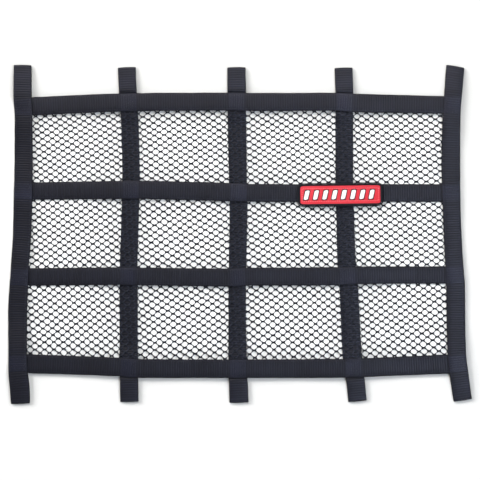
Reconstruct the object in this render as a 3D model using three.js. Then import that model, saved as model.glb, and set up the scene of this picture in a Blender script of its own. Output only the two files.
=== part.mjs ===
// A window net: five upright straps with a loop at each end, four crossbar straps,
// one panel of netting and one sewn label, lying flat and face up.
// Millimetres. +X to the net's right, +Y to its top edge, +Z up from the surface it lies on.
import * as THREE from 'three';

// Webbing, netting and label
const WEBBING_THICKNESS = 1.6;
const WEBBING_SELVAGE = 1.0;
const NET_THICKNESS = 1.0;
const LABEL_THICKNESS = 1.4;
const LABEL_LENGTH = 113;
const LABEL_HEIGHT = 28.5;
const LABEL_CORNER = 2.5;
const LABEL_X = 136;
const LABEL_Y = 54;
const LABEL_TILT = 0.8 * Math.PI / 180;

// How the layers lie on each other
const GAP = 0.4;
const SEAT_HALF = 15;
const RAMP = 18;
const NET_LIFT_AT_SIDES = 0.9;
const CROSSBAR_SAG = 1.0;
const SIDE_STRAP_SAG = 1.0;
const SIDE_STRAP_END_SAG = 1.6;

// The loops, and what is hidden under the crossings
const LOOP_INSIDE_HEIGHT = 6.5;
const LOOP_RISE = 14;
const LOOP_RISE_STEPS = 5;
const LOOP_FOLD_STEPS = 10;
const LOOP_RETURN_TUCK = 11;
const CROSSBAR_END_INSET = 11;
const NET_SIDE_INSET = 9;
const NET_END_INSET = 8;

const STRAP_LAYER = WEBBING_THICKNESS + GAP;
const NET_LAYER = NET_THICKNESS + GAP;

// Each upright's middle line and width from its top fold to its bottom fold.
// A slant turns a fold's line against the strap, in degrees.
const UPRIGHTS = [
  {
    name: 'upright_side_left', front: true, slantTop: -1, slantBottom: 0,
    rows: [
      { y: 230.5, x: -295.5, width: 24.2 },
      { y: 187, x: -295.5, width: 24.8 },
      { y: 162, x: -294, width: 24.5 },
      { y: 71, x: -294.5, width: 25.2 },
      { y: 5, x: -296, width: 25.4 },
      { y: -43, x: -299, width: 24.8 },
      { y: -99, x: -302, width: 26.2 },
      { y: -161, x: -302, width: 25.6 },
      { y: -188, x: -301.5, width: 26.2 },
      { y: -209, x: -299.5, width: 26.8 },
      { y: -230.4, x: -298.5, width: 25.8 },
    ],
  },
  {
    name: 'upright_inner_left', front: false, slantTop: 0, slantBottom: 0,
    rows: [
      { y: 227.5, x: -154, width: 24.4 },
      { y: 191, x: -152.5, width: 24 },
      { y: 153, x: -150, width: 24 },
      { y: 71, x: -148.5, width: 23.8 },
      { y: -43, x: -151.5, width: 24.3 },
      { y: -99, x: -151.5, width: 25 },
      { y: -161, x: -151.5, width: 25 },
      { y: -228, x: -150.5, width: 24.8 },
    ],
  },
  {
    name: 'upright_middle', front: false, slantTop: 0, slantBottom: 0,
    rows: [
      { y: 227.5, x: -5, width: 25 },
      { y: 167, x: -4.5, width: 25.4 },
      { y: 70, x: -3, width: 24.4 },
      { y: 47, x: -2, width: 24.6 },
      { y: -43, x: -3.5, width: 24 },
      { y: -99, x: -4, width: 24 },
      { y: -168, x: -3.5, width: 25 },
      { y: -229, x: -1.5, width: 26 },
    ],
  },
  {
    name: 'upright_inner_right', front: false, slantTop: 0, slantBottom: 0,
    rows: [
      { y: 226.8, x: 140.5, width: 24.6 },
      { y: 192, x: 141.5, width: 24.2 },
      { y: 70, x: 141.5, width: 24.2 },
      { y: 39, x: 142.5, width: 24.4 },
      { y: -43, x: 145, width: 25 },
      { y: -70, x: 147.5, width: 25.4 },
      { y: -168, x: 152.5, width: 26.4 },
      { y: -192, x: 156, width: 25.4 },
      { y: -227, x: 159.5, width: 25.2 },
    ],
  },
  {
    name: 'upright_side_right', front: true, slantTop: -5, slantBottom: 0,
    rows: [
      { y: 229, x: 292.5, width: 24.8 },
      { y: 188, x: 289, width: 24 },
      { y: 162, x: 287, width: 24.6 },
      { y: 88, x: 286, width: 25.6 },
      { y: 47, x: 287, width: 24.4 },
      { y: -7, x: 289, width: 24.6 },
      { y: -43, x: 291, width: 24.6 },
      { y: -70, x: 292.5, width: 25.6 },
      { y: -161, x: 294, width: 25.6 },
      { y: -188, x: 297, width: 25.6 },
      { y: -226, x: 302.5, width: 25 },
    ],
  },
];

// Each crossbar's middle line and width from the left side to the right side
const CROSSBARS = [
  {
    name: 'crossbar_top', end: true,
    rows: [
      { x: -305, y: 173, width: 24.8 },
      { x: -283, y: 174, width: 25 },
      { x: -165, y: 179, width: 25 },
      { x: -16, y: 180.3, width: 24.6 },
      { x: 9, y: 179.7, width: 24.6 },
      { x: 129, y: 180, width: 24.8 },
      { x: 155, y: 178.5, width: 25.4 },
      { x: 277, y: 176, width: 24.2 },
      { x: 300, y: 175.5, width: 24.2 },
    ],
  },
  {
    name: 'crossbar_upper', end: false,
    rows: [
      { x: -305, y: 58.5, width: 23.8 },
      { x: -282, y: 59, width: 23.8 },
      { x: -161, y: 60.5, width: 25 },
      { x: -136, y: 60.7, width: 25 },
      { x: -15, y: 57.5, width: 25.4 },
      { x: 11, y: 56.4, width: 24.4 },
      { x: 272, y: 56.4, width: 24.4 },
      { x: 300, y: 57, width: 24.4 },
    ],
  },
  {
    name: 'crossbar_lower', end: false,
    rows: [
      { x: -308, y: -58, width: 24 },
      { x: -286, y: -57.7, width: 24 },
      { x: -163, y: -56.6, width: 24.2 },
      { x: -139, y: -57, width: 24.4 },
      { x: -16, y: -58.5, width: 24.8 },
      { x: 9, y: -57.5, width: 24.4 },
      { x: 132, y: -56.6, width: 24.8 },
      { x: 156, y: -55.6, width: 24 },
      { x: 279, y: -55, width: 23.8 },
      { x: 302, y: -55, width: 23.8 },
    ],
  },
  {
    name: 'crossbar_bottom', end: true,
    rows: [
      { x: -311, y: -174.5, width: 26 },
      { x: -288, y: -175.5, width: 26 },
      { x: -165, y: -179.8, width: 25.6 },
      { x: -139, y: -181.8, width: 25.8 },
      { x: 9, y: -182.2, width: 25.4 },
      { x: 138, y: -181.6, width: 26 },
      { x: 166, y: -180.8, width: 25.6 },
      { x: 281, y: -176, width: 26.4 },
      { x: 305, y: -174.5, width: 26.4 },
    ],
  },
];

// Distances from a strap's middle line at which the net has a line of its grid
const RAMP_SHARES = [0, 1 / 3, 2 / 3, 1];
const NET_LINES_BESIDE_STRAP = [0, ...RAMP_SHARES.map((share) => SEAT_HALF + RAMP * share)];

const COLOURS = {
  webbing: 0x2c2d36,
  netting: 0x1d1f25,
  label: 0xd02b36,
};

function mix(a, b, share) {
  return a + (b - a) * share;
}

function easeInOut(share) {
  const held = Math.min(1, Math.max(0, share));
  return (1 - Math.cos(Math.PI * held)) / 2;
}

// 1 over a seat, 0 beyond the ramp that follows it
function nearness(distance) {
  return 1 - easeInOut((Math.abs(distance) - SEAT_HALF) / RAMP);
}

function slopeAt(rows, index, along, column) {
  const before = rows[Math.max(0, index - 1)];
  const after = rows[Math.min(rows.length - 1, index + 1)];
  return (after[column] - before[column]) / (after[along] - before[along]);
}

// A smooth curve through one column of a table, straight beyond its ends
function readTable(rows, along, column, position) {
  const order = Math.sign(rows[1][along] - rows[0][along]);
  const last = rows.length - 1;
  if ((position - rows[0][along]) * order <= 0) {
    return rows[0][column] + slopeAt(rows, 0, along, column) * (position - rows[0][along]);
  }
  if ((position - rows[last][along]) * order >= 0) {
    return rows[last][column] + slopeAt(rows, last, along, column) * (position - rows[last][along]);
  }
  const index = rows.findIndex((row, i) => i > 0 && (position - row[along]) * order <= 0) - 1;
  const from = rows[index];
  const to = rows[index + 1];
  const span = to[along] - from[along];
  const share = (position - from[along]) / span;
  const square = share * share;
  const cube = square * share;
  return (2 * cube - 3 * square + 1) * from[column]
    + (cube - 2 * square + share) * span * slopeAt(rows, index, along, column)
    + (3 * square - 2 * cube) * to[column]
    + (cube - square) * span * slopeAt(rows, index + 1, along, column);
}

function uprightX(upright, y) {
  return readTable(upright.rows, 'y', 'x', y);
}

function crossbarY(crossbar, x) {
  return readTable(crossbar.rows, 'x', 'y', x);
}

// Where an upright and a crossbar cross
function crossing(upright, crossbar) {
  let x = upright.rows[0].x;
  let y = crossbarY(crossbar, x);
  for (let turn = 0; turn < 6; turn += 1) {
    x = uprightX(upright, y);
    y = crossbarY(crossbar, x);
  }
  return { x, y };
}

// Height of a strap that is held at its seats and hangs a little between them
function hungHeight(position, seats) {
  const ordered = [...seats].sort((a, b) => a.at - b.at);
  const next = ordered.findIndex((seat) => seat.at - SEAT_HALF > position);
  if (next === -1) {
    return ordered[ordered.length - 1].height;
  }
  if (next === 0 || position <= ordered[next - 1].at + SEAT_HALF) {
    return ordered[Math.max(0, next - 1)].height;
  }
  const from = ordered[next - 1];
  const to = ordered[next];
  const start = from.at + SEAT_HALF;
  const share = (position - start) / (to.at - SEAT_HALF - start);
  const sag = Math.max(from.sag, to.sag);
  return mix(from.height, to.height, easeInOut(share)) - sag * Math.sin(Math.PI * share) ** 2;
}

// Height of a crossbar's underside
function crossbarHeight(crossbar, x) {
  const returnLayer = crossbar.end ? STRAP_LAYER : 0;
  const seats = UPRIGHTS.map((upright) => ({
    at: crossing(upright, crossbar).x,
    height: returnLayer + NET_LAYER + (upright.front ? 0 : STRAP_LAYER),
    sag: CROSSBAR_SAG,
  }));
  return hungHeight(x, seats);
}

// Height of an upright's underside between its loops
function uprightHeight(upright, y) {
  if (!upright.front) {
    const first = crossing(upright, CROSSBARS[0]).y;
    const last = crossing(upright, CROSSBARS[CROSSBARS.length - 1]).y;
    const inward = Math.max(0, Math.min(first - y, y - last));
    return STRAP_LAYER * nearness(inward);
  }
  const seats = CROSSBARS.map((crossbar) => ({
    at: crossing(upright, crossbar).y,
    height: NET_LAYER + STRAP_LAYER + (crossbar.end ? STRAP_LAYER : 0),
    sag: crossbar.end ? SIDE_STRAP_END_SAG : SIDE_STRAP_SAG,
  }));
  return hungHeight(y, seats);
}

// Height of the net's underside: up over the straps behind it, up to the straps before it
function netHeight(x, y) {
  let height = 0;
  for (const upright of UPRIGHTS) {
    const beside = nearness(x - uprightX(upright, y));
    const lift = upright.front ? netLiftAtSide(upright, y) : uprightHeight(upright, y) + STRAP_LAYER;
    height = Math.max(height, lift * beside);
  }
  for (const crossbar of CROSSBARS) {
    const lift = crossbarHeight(crossbar, x) - NET_LAYER;
    height = Math.max(height, lift * nearness(y - crossbarY(crossbar, x)));
  }
  return height;
}

// The net is sewn to a side strap between the crossings and dips under each crossbar's end
function netLiftAtSide(upright, y) {
  const distances = CROSSBARS.map((crossbar) => Math.abs(y - crossing(upright, crossbar).y));
  return NET_LIFT_AT_SIDES * (1 - nearness(Math.min(...distances)));
}

// Grid lines of the net between two straps, then to the net's own edges
function netLines(straps, edgeReach) {
  const lines = [{ strap: 0, offset: -edgeReach }];
  for (let index = 0; index < straps.length - 1; index += 1) {
    const beside = NET_LINES_BESIDE_STRAP.map((offset) => ({ strap: index, offset }));
    const before = beside.slice(1).map((line) => ({ strap: index + 1, offset: -line.offset }));
    lines.push(...beside, { strap: index, middle: true }, ...before.reverse());
  }
  lines.push({ strap: straps.length - 1, offset: 0 }, { strap: straps.length - 1, offset: edgeReach });
  return lines;
}

function columnX(line, y) {
  const x = uprightX(UPRIGHTS[line.strap], y);
  return line.middle ? (x + uprightX(UPRIGHTS[line.strap + 1], y)) / 2 : x + line.offset;
}

function rowY(line, x) {
  const y = crossbarY(CROSSBARS[line.strap], x);
  return line.middle ? (y + crossbarY(CROSSBARS[line.strap + 1], x)) / 2 : y - line.offset;
}

const NET_COLUMNS = netLines(UPRIGHTS, NET_SIDE_INSET);
const NET_ROWS = netLines(CROSSBARS, NET_END_INSET);

// Where a column and a row of the net's grid meet
function netPoint(column, row) {
  let x = columnX(column, 0);
  let y = rowY(row, x);
  for (let turn = 0; turn < 6; turn += 1) {
    x = columnX(column, y);
    y = rowY(row, x);
  }
  return new THREE.Vector3(x, y, netHeight(x, y));
}

// Six corners round a band: its two selvages and the flats between them
function bandRing(station) {
  const { centre, across, up, width, thickness, selvage } = station;
  const flat = width / 2 - selvage;
  const corners = [
    [width / 2, 0],
    [flat, thickness / 2],
    [-flat, thickness / 2],
    [-width / 2, 0],
    [-flat, -thickness / 2],
    [flat, -thickness / 2],
  ];
  return corners.map(([side, rise]) => centre.clone().addScaledVector(across, side).addScaledVector(up, rise));
}

// A closed band through its stations, in the order of travel
function bandGeometry(stations) {
  const rings = stations.map(bandRing);
  const count = rings[0].length;
  const positions = rings.flat().flatMap((corner) => corner.toArray());
  const indices = [];
  for (let ring = 0; ring < rings.length - 1; ring += 1) {
    for (let corner = 0; corner < count; corner += 1) {
      const a = ring * count + corner;
      const b = ring * count + (corner + 1) % count;
      indices.push(a, a + count, b + count, a, b + count, b);
    }
  }
  const end = (rings.length - 1) * count;
  for (let corner = 1; corner < count - 1; corner += 1) {
    indices.push(0, corner, corner + 1);
    indices.push(end, end + corner + 1, end + corner);
  }
  return indexedGeometry(positions, indices);
}

function indexedGeometry(positions, indices) {
  const geometry = new THREE.BufferGeometry();
  geometry.setAttribute('position', new THREE.Float32BufferAttribute(positions, 3));
  geometry.setIndex(indices);
  geometry.computeVertexNormals();
  return geometry;
}

// One end of an upright, from the crossing outward: up into the loop, round the fold
// and back along the surface to the tucked end
function loopProfile(upright, crossbar, outward) {
  const start = crossing(upright, crossbar).y;
  const fold = outward > 0 ? upright.rows[0].y : upright.rows[upright.rows.length - 1].y;
  const reach = (fold - start) * outward;
  const radius = (WEBBING_THICKNESS + LOOP_INSIDE_HEIGHT) / 2;
  const foldCentre = reach - radius - WEBBING_THICKNESS / 2;
  const seat = uprightHeight(upright, start) + WEBBING_THICKNESS / 2;
  const crest = WEBBING_THICKNESS / 2 + 2 * radius;
  const profile = [];
  for (let step = 0; step <= LOOP_RISE_STEPS; step += 1) {
    const share = step / LOOP_RISE_STEPS;
    profile.push({ out: SEAT_HALF + LOOP_RISE * share, z: mix(seat, crest, easeInOut(share)) });
  }
  for (let step = 0; step <= LOOP_FOLD_STEPS; step += 1) {
    const angle = Math.PI * step / LOOP_FOLD_STEPS;
    profile.push({
      out: foldCentre + radius * Math.sin(angle),
      z: WEBBING_THICKNESS / 2 + radius * (1 + Math.cos(angle)),
    });
  }
  for (const out of [SEAT_HALF + LOOP_RISE / 2, SEAT_HALF, -LOOP_RETURN_TUCK]) {
    profile.push({ out, z: WEBBING_THICKNESS / 2 });
  }
  return profile.map((point) => ({ y: start + outward * point.out, z: point.z, reach: point.out / reach }));
}

// An upright's side view, from the tucked end at the bottom to the tucked end at the top
function uprightProfile(upright) {
  const bottom = loopProfile(upright, CROSSBARS[CROSSBARS.length - 1], -1).map((point) => (
    { ...point, slant: upright.slantBottom }
  ));
  const top = loopProfile(upright, CROSSBARS[0], 1).map((point) => ({ ...point, slant: upright.slantTop }));
  const between = NET_ROWS.slice(1, -1).map((row) => {
    const y = netPoint({ strap: UPRIGHTS.indexOf(upright), offset: 0 }, row).y;
    return { y, z: uprightHeight(upright, y) + WEBBING_THICKNESS / 2, reach: 0, slant: 0 };
  });
  return [...bottom.reverse(), ...between.reverse(), ...top];
}

// Turns a side view into stations that follow the strap's middle line in plan
function uprightStations(upright) {
  const profile = uprightProfile(upright);
  return profile.map((point, index) => {
    const before = profile[Math.max(0, index - 1)];
    const after = profile[Math.min(profile.length - 1, index + 1)];
    const lean = (uprightX(upright, point.y + 1) - uprightX(upright, point.y - 1)) / 2;
    const slant = Math.tan(point.slant * Math.PI / 180) * Math.max(0, point.reach) ** 2;
    const across = new THREE.Vector3(1, -lean + slant, 0).normalize();
    const travel = new THREE.Vector3(0, after.y - before.y, after.z - before.z).normalize();
    const up = new THREE.Vector3(0, -travel.z, travel.y);
    return {
      centre: new THREE.Vector3(uprightX(upright, point.y), point.y, point.z),
      across,
      up,
      width: readTable(upright.rows, 'y', 'width', point.y),
      thickness: WEBBING_THICKNESS,
      selvage: WEBBING_SELVAGE,
    };
  });
}

function flatStation(x, y, z, lean, width, thickness) {
  return {
    centre: new THREE.Vector3(x, y, z + thickness / 2),
    across: new THREE.Vector3(lean, -1, 0).normalize(),
    up: new THREE.Vector3(0, 0, 1),
    width,
    thickness,
    selvage: WEBBING_SELVAGE,
  };
}

function crossbarStations(crossbar) {
  const row = { strap: CROSSBARS.indexOf(crossbar), offset: 0 };
  const columns = NET_COLUMNS.map((column) => ({ ...column }));
  columns[0].offset = -CROSSBAR_END_INSET;
  columns[columns.length - 1].offset = CROSSBAR_END_INSET;
  return columns.map((column) => {
    const { x, y } = netPoint(column, row);
    const lean = (crossbarY(crossbar, x + 1) - crossbarY(crossbar, x - 1)) / 2;
    const width = readTable(crossbar.rows, 'x', 'width', x);
    return flatStation(x, y, crossbarHeight(crossbar, x), lean, width, WEBBING_THICKNESS);
  });
}

// The label lies on the upper crossbar and takes its bends
function labelStations() {
  const crossbar = CROSSBARS[1];
  const half = LABEL_LENGTH / 2;
  const bends = crossbarStations(crossbar)
    .map((station) => station.centre.x - LABEL_X)
    .filter((offset) => Math.abs(offset) < half - LABEL_CORNER - 1);
  const ends = [
    { offset: half, trim: LABEL_CORNER },
    { offset: half - LABEL_CORNER * 0.3, trim: LABEL_CORNER * 0.3 },
    { offset: half - LABEL_CORNER, trim: 0 },
  ];
  const places = [
    ...ends.map((end) => ({ offset: -end.offset, trim: end.trim })),
    ...bends.map((offset) => ({ offset, trim: 0 })),
    ...ends.reverse(),
  ];
  return places.map(({ offset, trim }) => {
    const x = LABEL_X + offset * Math.cos(LABEL_TILT);
    const y = LABEL_Y + offset * Math.sin(LABEL_TILT);
    const z = crossbarHeight(crossbar, x) + STRAP_LAYER;
    return flatStation(x, y, z, Math.tan(LABEL_TILT), LABEL_HEIGHT - 2 * trim, LABEL_THICKNESS);
  });
}

// One sheet of netting: a top and an underside on the same grid, closed round its edge
function netGeometry() {
  const columns = NET_COLUMNS.length;
  const rows = NET_ROWS.length;
  const under = NET_ROWS.flatMap((row) => NET_COLUMNS.map((column) => netPoint(column, row)));
  const over = under.map((point) => point.clone().setZ(point.z + NET_THICKNESS));
  const positions = [...under, ...over].flatMap((point) => point.toArray());
  const layer = under.length;
  const indices = [];
  for (let row = 0; row < rows - 1; row += 1) {
    for (let column = 0; column < columns - 1; column += 1) {
      const a = row * columns + column;
      const b = a + 1;
      const c = b + columns;
      const d = a + columns;
      indices.push(a, b, c, a, c, d);
      indices.push(layer + a, layer + c, layer + b, layer + a, layer + d, layer + c);
    }
  }
  const rim = sheetRim(columns, rows);
  for (let index = 0; index < rim.length; index += 1) {
    const a = rim[index];
    const b = rim[(index + 1) % rim.length];
    indices.push(a, layer + b, b, a, layer + a, layer + b);
  }
  return indexedGeometry(positions, indices);
}

// The grid points round a sheet's edge, clockwise in plan from its first corner
function sheetRim(columns, rows) {
  const rim = [];
  for (let column = 0; column < columns - 1; column += 1) {
    rim.push(column);
  }
  for (let row = 0; row < rows - 1; row += 1) {
    rim.push(row * columns + columns - 1);
  }
  for (let column = columns - 1; column > 0; column -= 1) {
    rim.push((rows - 1) * columns + column);
  }
  for (let row = rows - 1; row > 0; row -= 1) {
    rim.push(row * columns);
  }
  return rim;
}

function cloth(colour, roughness) {
  return new THREE.MeshStandardMaterial({ color: colour, roughness, metalness: 0 });
}

function namedMesh(name, geometry, material) {
  const mesh = new THREE.Mesh(geometry, material);
  mesh.name = name;
  return mesh;
}

function buildWindowNet() {
  const net = new THREE.Group();
  const webbing = cloth(COLOURS.webbing, 0.75);
  for (const upright of UPRIGHTS) {
    net.add(namedMesh(upright.name, bandGeometry(uprightStations(upright)), webbing));
  }
  for (const crossbar of CROSSBARS) {
    net.add(namedMesh(crossbar.name, bandGeometry(crossbarStations(crossbar)), webbing));
  }
  net.add(namedMesh('netting', netGeometry(), cloth(COLOURS.netting, 0.8)));
  net.add(namedMesh('label', bandGeometry(labelStations()), cloth(COLOURS.label, 0.6)));
  return net;
}

export default buildWindowNet();
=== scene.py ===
"""A window net laid out flat: ribbed webbing, knitted netting, a sewn label, and the studio round it."""

import logging
import math
from dataclasses import dataclass, field
from enum import Enum
from typing import Any, Callable, Iterable, Sequence

import bmesh
import bpy
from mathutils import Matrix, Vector, noise
from mathutils.kdtree import KDTree


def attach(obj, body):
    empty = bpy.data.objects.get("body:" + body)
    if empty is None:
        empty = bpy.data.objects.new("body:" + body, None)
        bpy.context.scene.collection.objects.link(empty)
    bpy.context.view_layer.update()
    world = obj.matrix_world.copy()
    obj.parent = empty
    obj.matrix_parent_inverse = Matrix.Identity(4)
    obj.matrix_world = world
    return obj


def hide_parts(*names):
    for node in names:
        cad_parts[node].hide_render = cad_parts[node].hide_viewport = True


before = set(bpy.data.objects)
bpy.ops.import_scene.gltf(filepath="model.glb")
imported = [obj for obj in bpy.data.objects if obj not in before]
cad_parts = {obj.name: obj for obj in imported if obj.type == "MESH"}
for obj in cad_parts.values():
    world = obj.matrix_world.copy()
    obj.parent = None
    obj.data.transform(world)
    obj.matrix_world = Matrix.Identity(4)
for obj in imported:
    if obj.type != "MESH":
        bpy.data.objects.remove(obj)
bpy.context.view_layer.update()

LOG = logging.getLogger("window_net")
ROOT = "root"
MM = 0.001
RIB_PITCH = 3.25 * MM


class Lies(Enum):
    """Which side of the netting an upright lies on."""

    BEHIND = "behind"
    IN_FRONT = "in front"


class End(Enum):
    """An upright's two ends, with the way out along Y."""

    TOP = 1
    BOTTOM = -1


@dataclass(frozen=True)
class Row:
    """One place along a strap: its distance along, where the strap's middle is, and its width."""

    along: float
    middle: float
    width: float


@dataclass(frozen=True)
class Seat:
    """A place that holds a strap up: where it is, the underside's height there, and the sag next to it."""

    at: float
    height: float
    sag: float


@dataclass(frozen=True)
class Layers:
    """The thicknesses of the cloth and how its layers lie on each other, as in the frame."""

    webbing: float = 1.6 * MM
    netting: float = 1.0 * MM
    label: float = 1.4 * MM
    gap: float = 0.4 * MM
    seat_half: float = 15 * MM
    ramp: float = 18 * MM
    side_lift: float = 0.9 * MM
    crossbar_sag: float = 1.0 * MM
    side_sag: float = 1.0 * MM
    side_end_sag: float = 1.6 * MM

    @property
    def strap(self) -> float:
        """Height that one strap takes up."""
        return self.webbing + self.gap

    @property
    def net(self) -> float:
        """Height that the netting takes up."""
        return self.netting + self.gap

    def nearness(self, distance: float) -> float:
        """1 over a seat, 0 beyond the ramp that follows it."""
        return 1 - ease((abs(distance) - self.seat_half) / self.ramp)


LAYERS = Layers()


def mix(first: float, second: float, share: float) -> float:
    """The value a share of the way from first to second."""
    return first + (second - first) * share


def ease(share: float) -> float:
    """A smooth step from 0 to 1, held at both ends."""
    return (1 - math.cos(math.pi * min(1.0, max(0.0, share)))) / 2


def turned(u: float, v: float, angle: float) -> tuple[float, float]:
    """A point in plan, turned round the origin."""
    return u * math.cos(angle) - v * math.sin(angle), u * math.sin(angle) + v * math.cos(angle)


@dataclass(frozen=True)
class Strap:
    """A length of webbing whose middle line in plan is a smooth curve through its rows."""

    name: str
    rows: tuple[Row, ...]

    def _slope(self, index: int, column: str) -> float:
        """The slope of one column at a row, from the rows beside it.

        Args:
            index: The row's number.
            column: The column's name.

        Returns:
            The slope.
        """
        before = self.rows[max(0, index - 1)]
        after = self.rows[min(len(self.rows) - 1, index + 1)]
        return (getattr(after, column) - getattr(before, column)) / (after.along - before.along)

    def read(self, place: float, column: str) -> float:
        """Reads a column between the rows, straight on beyond the ends.

        Args:
            place: Distance along the strap's axis, in metres.
            column: "middle" or "width".

        Returns:
            The column's value at that place.
        """
        rows = self.rows
        for index in (0, len(rows) - 1):
            edge = rows[index]
            inward = rows[1 if index == 0 else index - 1].along - edge.along
            if (place - edge.along) * inward <= 0:
                return getattr(edge, column) + self._slope(index, column) * (place - edge.along)
        pairs = enumerate(zip(rows, rows[1:]))
        index = next(i for i, (a, b) in pairs if (place - a.along) * (place - b.along) <= 0)
        start, end = rows[index], rows[index + 1]
        span = end.along - start.along
        share = (place - start.along) / span
        square, cube = share**2, share**3
        return (
            (2 * cube - 3 * square + 1) * getattr(start, column)
            + (cube - 2 * square + share) * span * self._slope(index, column)
            + (3 * square - 2 * cube) * getattr(end, column)
            + (cube - square) * span * self._slope(index + 1, column)
        )

    def middle(self, place: float) -> float:
        """The middle line's offset at a place."""
        return self.read(place, "middle")

    def lean(self, place: float) -> float:
        """The middle line's slope at a place."""
        return (self.middle(place + MM) - self.middle(place - MM)) / (2 * MM)


@dataclass(frozen=True)
class Upright(Strap):
    """A strap along Y with a loop at each end."""

    lies: Lies = Lies.BEHIND
    slant_top: float = 0.0
    slant_bottom: float = 0.0


@dataclass(frozen=True)
class Crossbar(Strap):
    """A strap along X. The outermost two lie over the loops' tucked ends."""

    outermost: bool = False


def rows_in_mm(*rows: tuple[float, float, float]) -> tuple[Row, ...]:
    """Rows of (along, middle, width), turned from millimetres into metres."""
    return tuple(Row(along * MM, middle * MM, width * MM) for along, middle, width in rows)


UPRIGHTS = (
    Upright("upright_side_left", rows_in_mm(
        (230.5, -295.5, 24.2), (187, -295.5, 24.8), (162, -294, 24.5), (71, -294.5, 25.2),
        (5, -296, 25.4), (-43, -299, 24.8), (-99, -302, 26.2), (-161, -302, 25.6),
        (-188, -301.5, 26.2), (-209, -299.5, 26.8), (-230.4, -298.5, 25.8),
    ), lies=Lies.IN_FRONT, slant_top=-1.0),
    Upright("upright_inner_left", rows_in_mm(
        (227.5, -154, 24.4), (191, -152.5, 24), (153, -150, 24), (71, -148.5, 23.8),
        (-43, -151.5, 24.3), (-99, -151.5, 25), (-161, -151.5, 25), (-228, -150.5, 24.8),
    )),
    Upright("upright_middle", rows_in_mm(
        (227.5, -5, 25), (167, -4.5, 25.4), (70, -3, 24.4), (47, -2, 24.6),
        (-43, -3.5, 24), (-99, -4, 24), (-168, -3.5, 25), (-229, -1.5, 26),
    )),
    Upright("upright_inner_right", rows_in_mm(
        (226.8, 140.5, 24.6), (192, 141.5, 24.2), (70, 141.5, 24.2), (39, 142.5, 24.4),
        (-43, 145, 25), (-70, 147.5, 25.4), (-168, 152.5, 26.4), (-192, 156, 25.4),
        (-227, 159.5, 25.2),
    )),
    Upright("upright_side_right", rows_in_mm(
        (229, 292.5, 24.8), (188, 289, 24), (162, 287, 24.6), (88, 286, 25.6),
        (47, 287, 24.4), (-7, 289, 24.6), (-43, 291, 24.6), (-70, 292.5, 25.6),
        (-161, 294, 25.6), (-188, 297, 25.6), (-226, 302.5, 25),
    ), lies=Lies.IN_FRONT, slant_top=-5.0),
)

CROSSBARS = (
    Crossbar("crossbar_top", rows_in_mm(
        (-305, 173, 24.8), (-283, 174, 25), (-165, 179, 25), (-16, 180.3, 24.6), (9, 179.7, 24.6),
        (129, 180, 24.8), (155, 178.5, 25.4), (277, 176, 24.2), (300, 175.5, 24.2),
    ), outermost=True),
    Crossbar("crossbar_upper", rows_in_mm(
        (-305, 58.5, 23.8), (-282, 59, 23.8), (-161, 60.5, 25), (-136, 60.7, 25), (-15, 57.5, 25.4),
        (11, 56.4, 24.4), (272, 56.4, 24.4), (300, 57, 24.4),
    )),
    Crossbar("crossbar_lower", rows_in_mm(
        (-308, -58, 24), (-286, -57.7, 24), (-163, -56.6, 24.2), (-139, -57, 24.4), (-16, -58.5, 24.8),
        (9, -57.5, 24.4), (132, -56.6, 24.8), (156, -55.6, 24), (279, -55, 23.8), (302, -55, 23.8),
    )),
    Crossbar("crossbar_bottom", rows_in_mm(
        (-311, -174.5, 26), (-288, -175.5, 26), (-165, -179.8, 25.6), (-139, -181.8, 25.8),
        (9, -182.2, 25.4), (138, -181.6, 26), (166, -180.8, 25.6), (281, -176, 26.4), (305, -174.5, 26.4),
    ), outermost=True),
)


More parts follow.
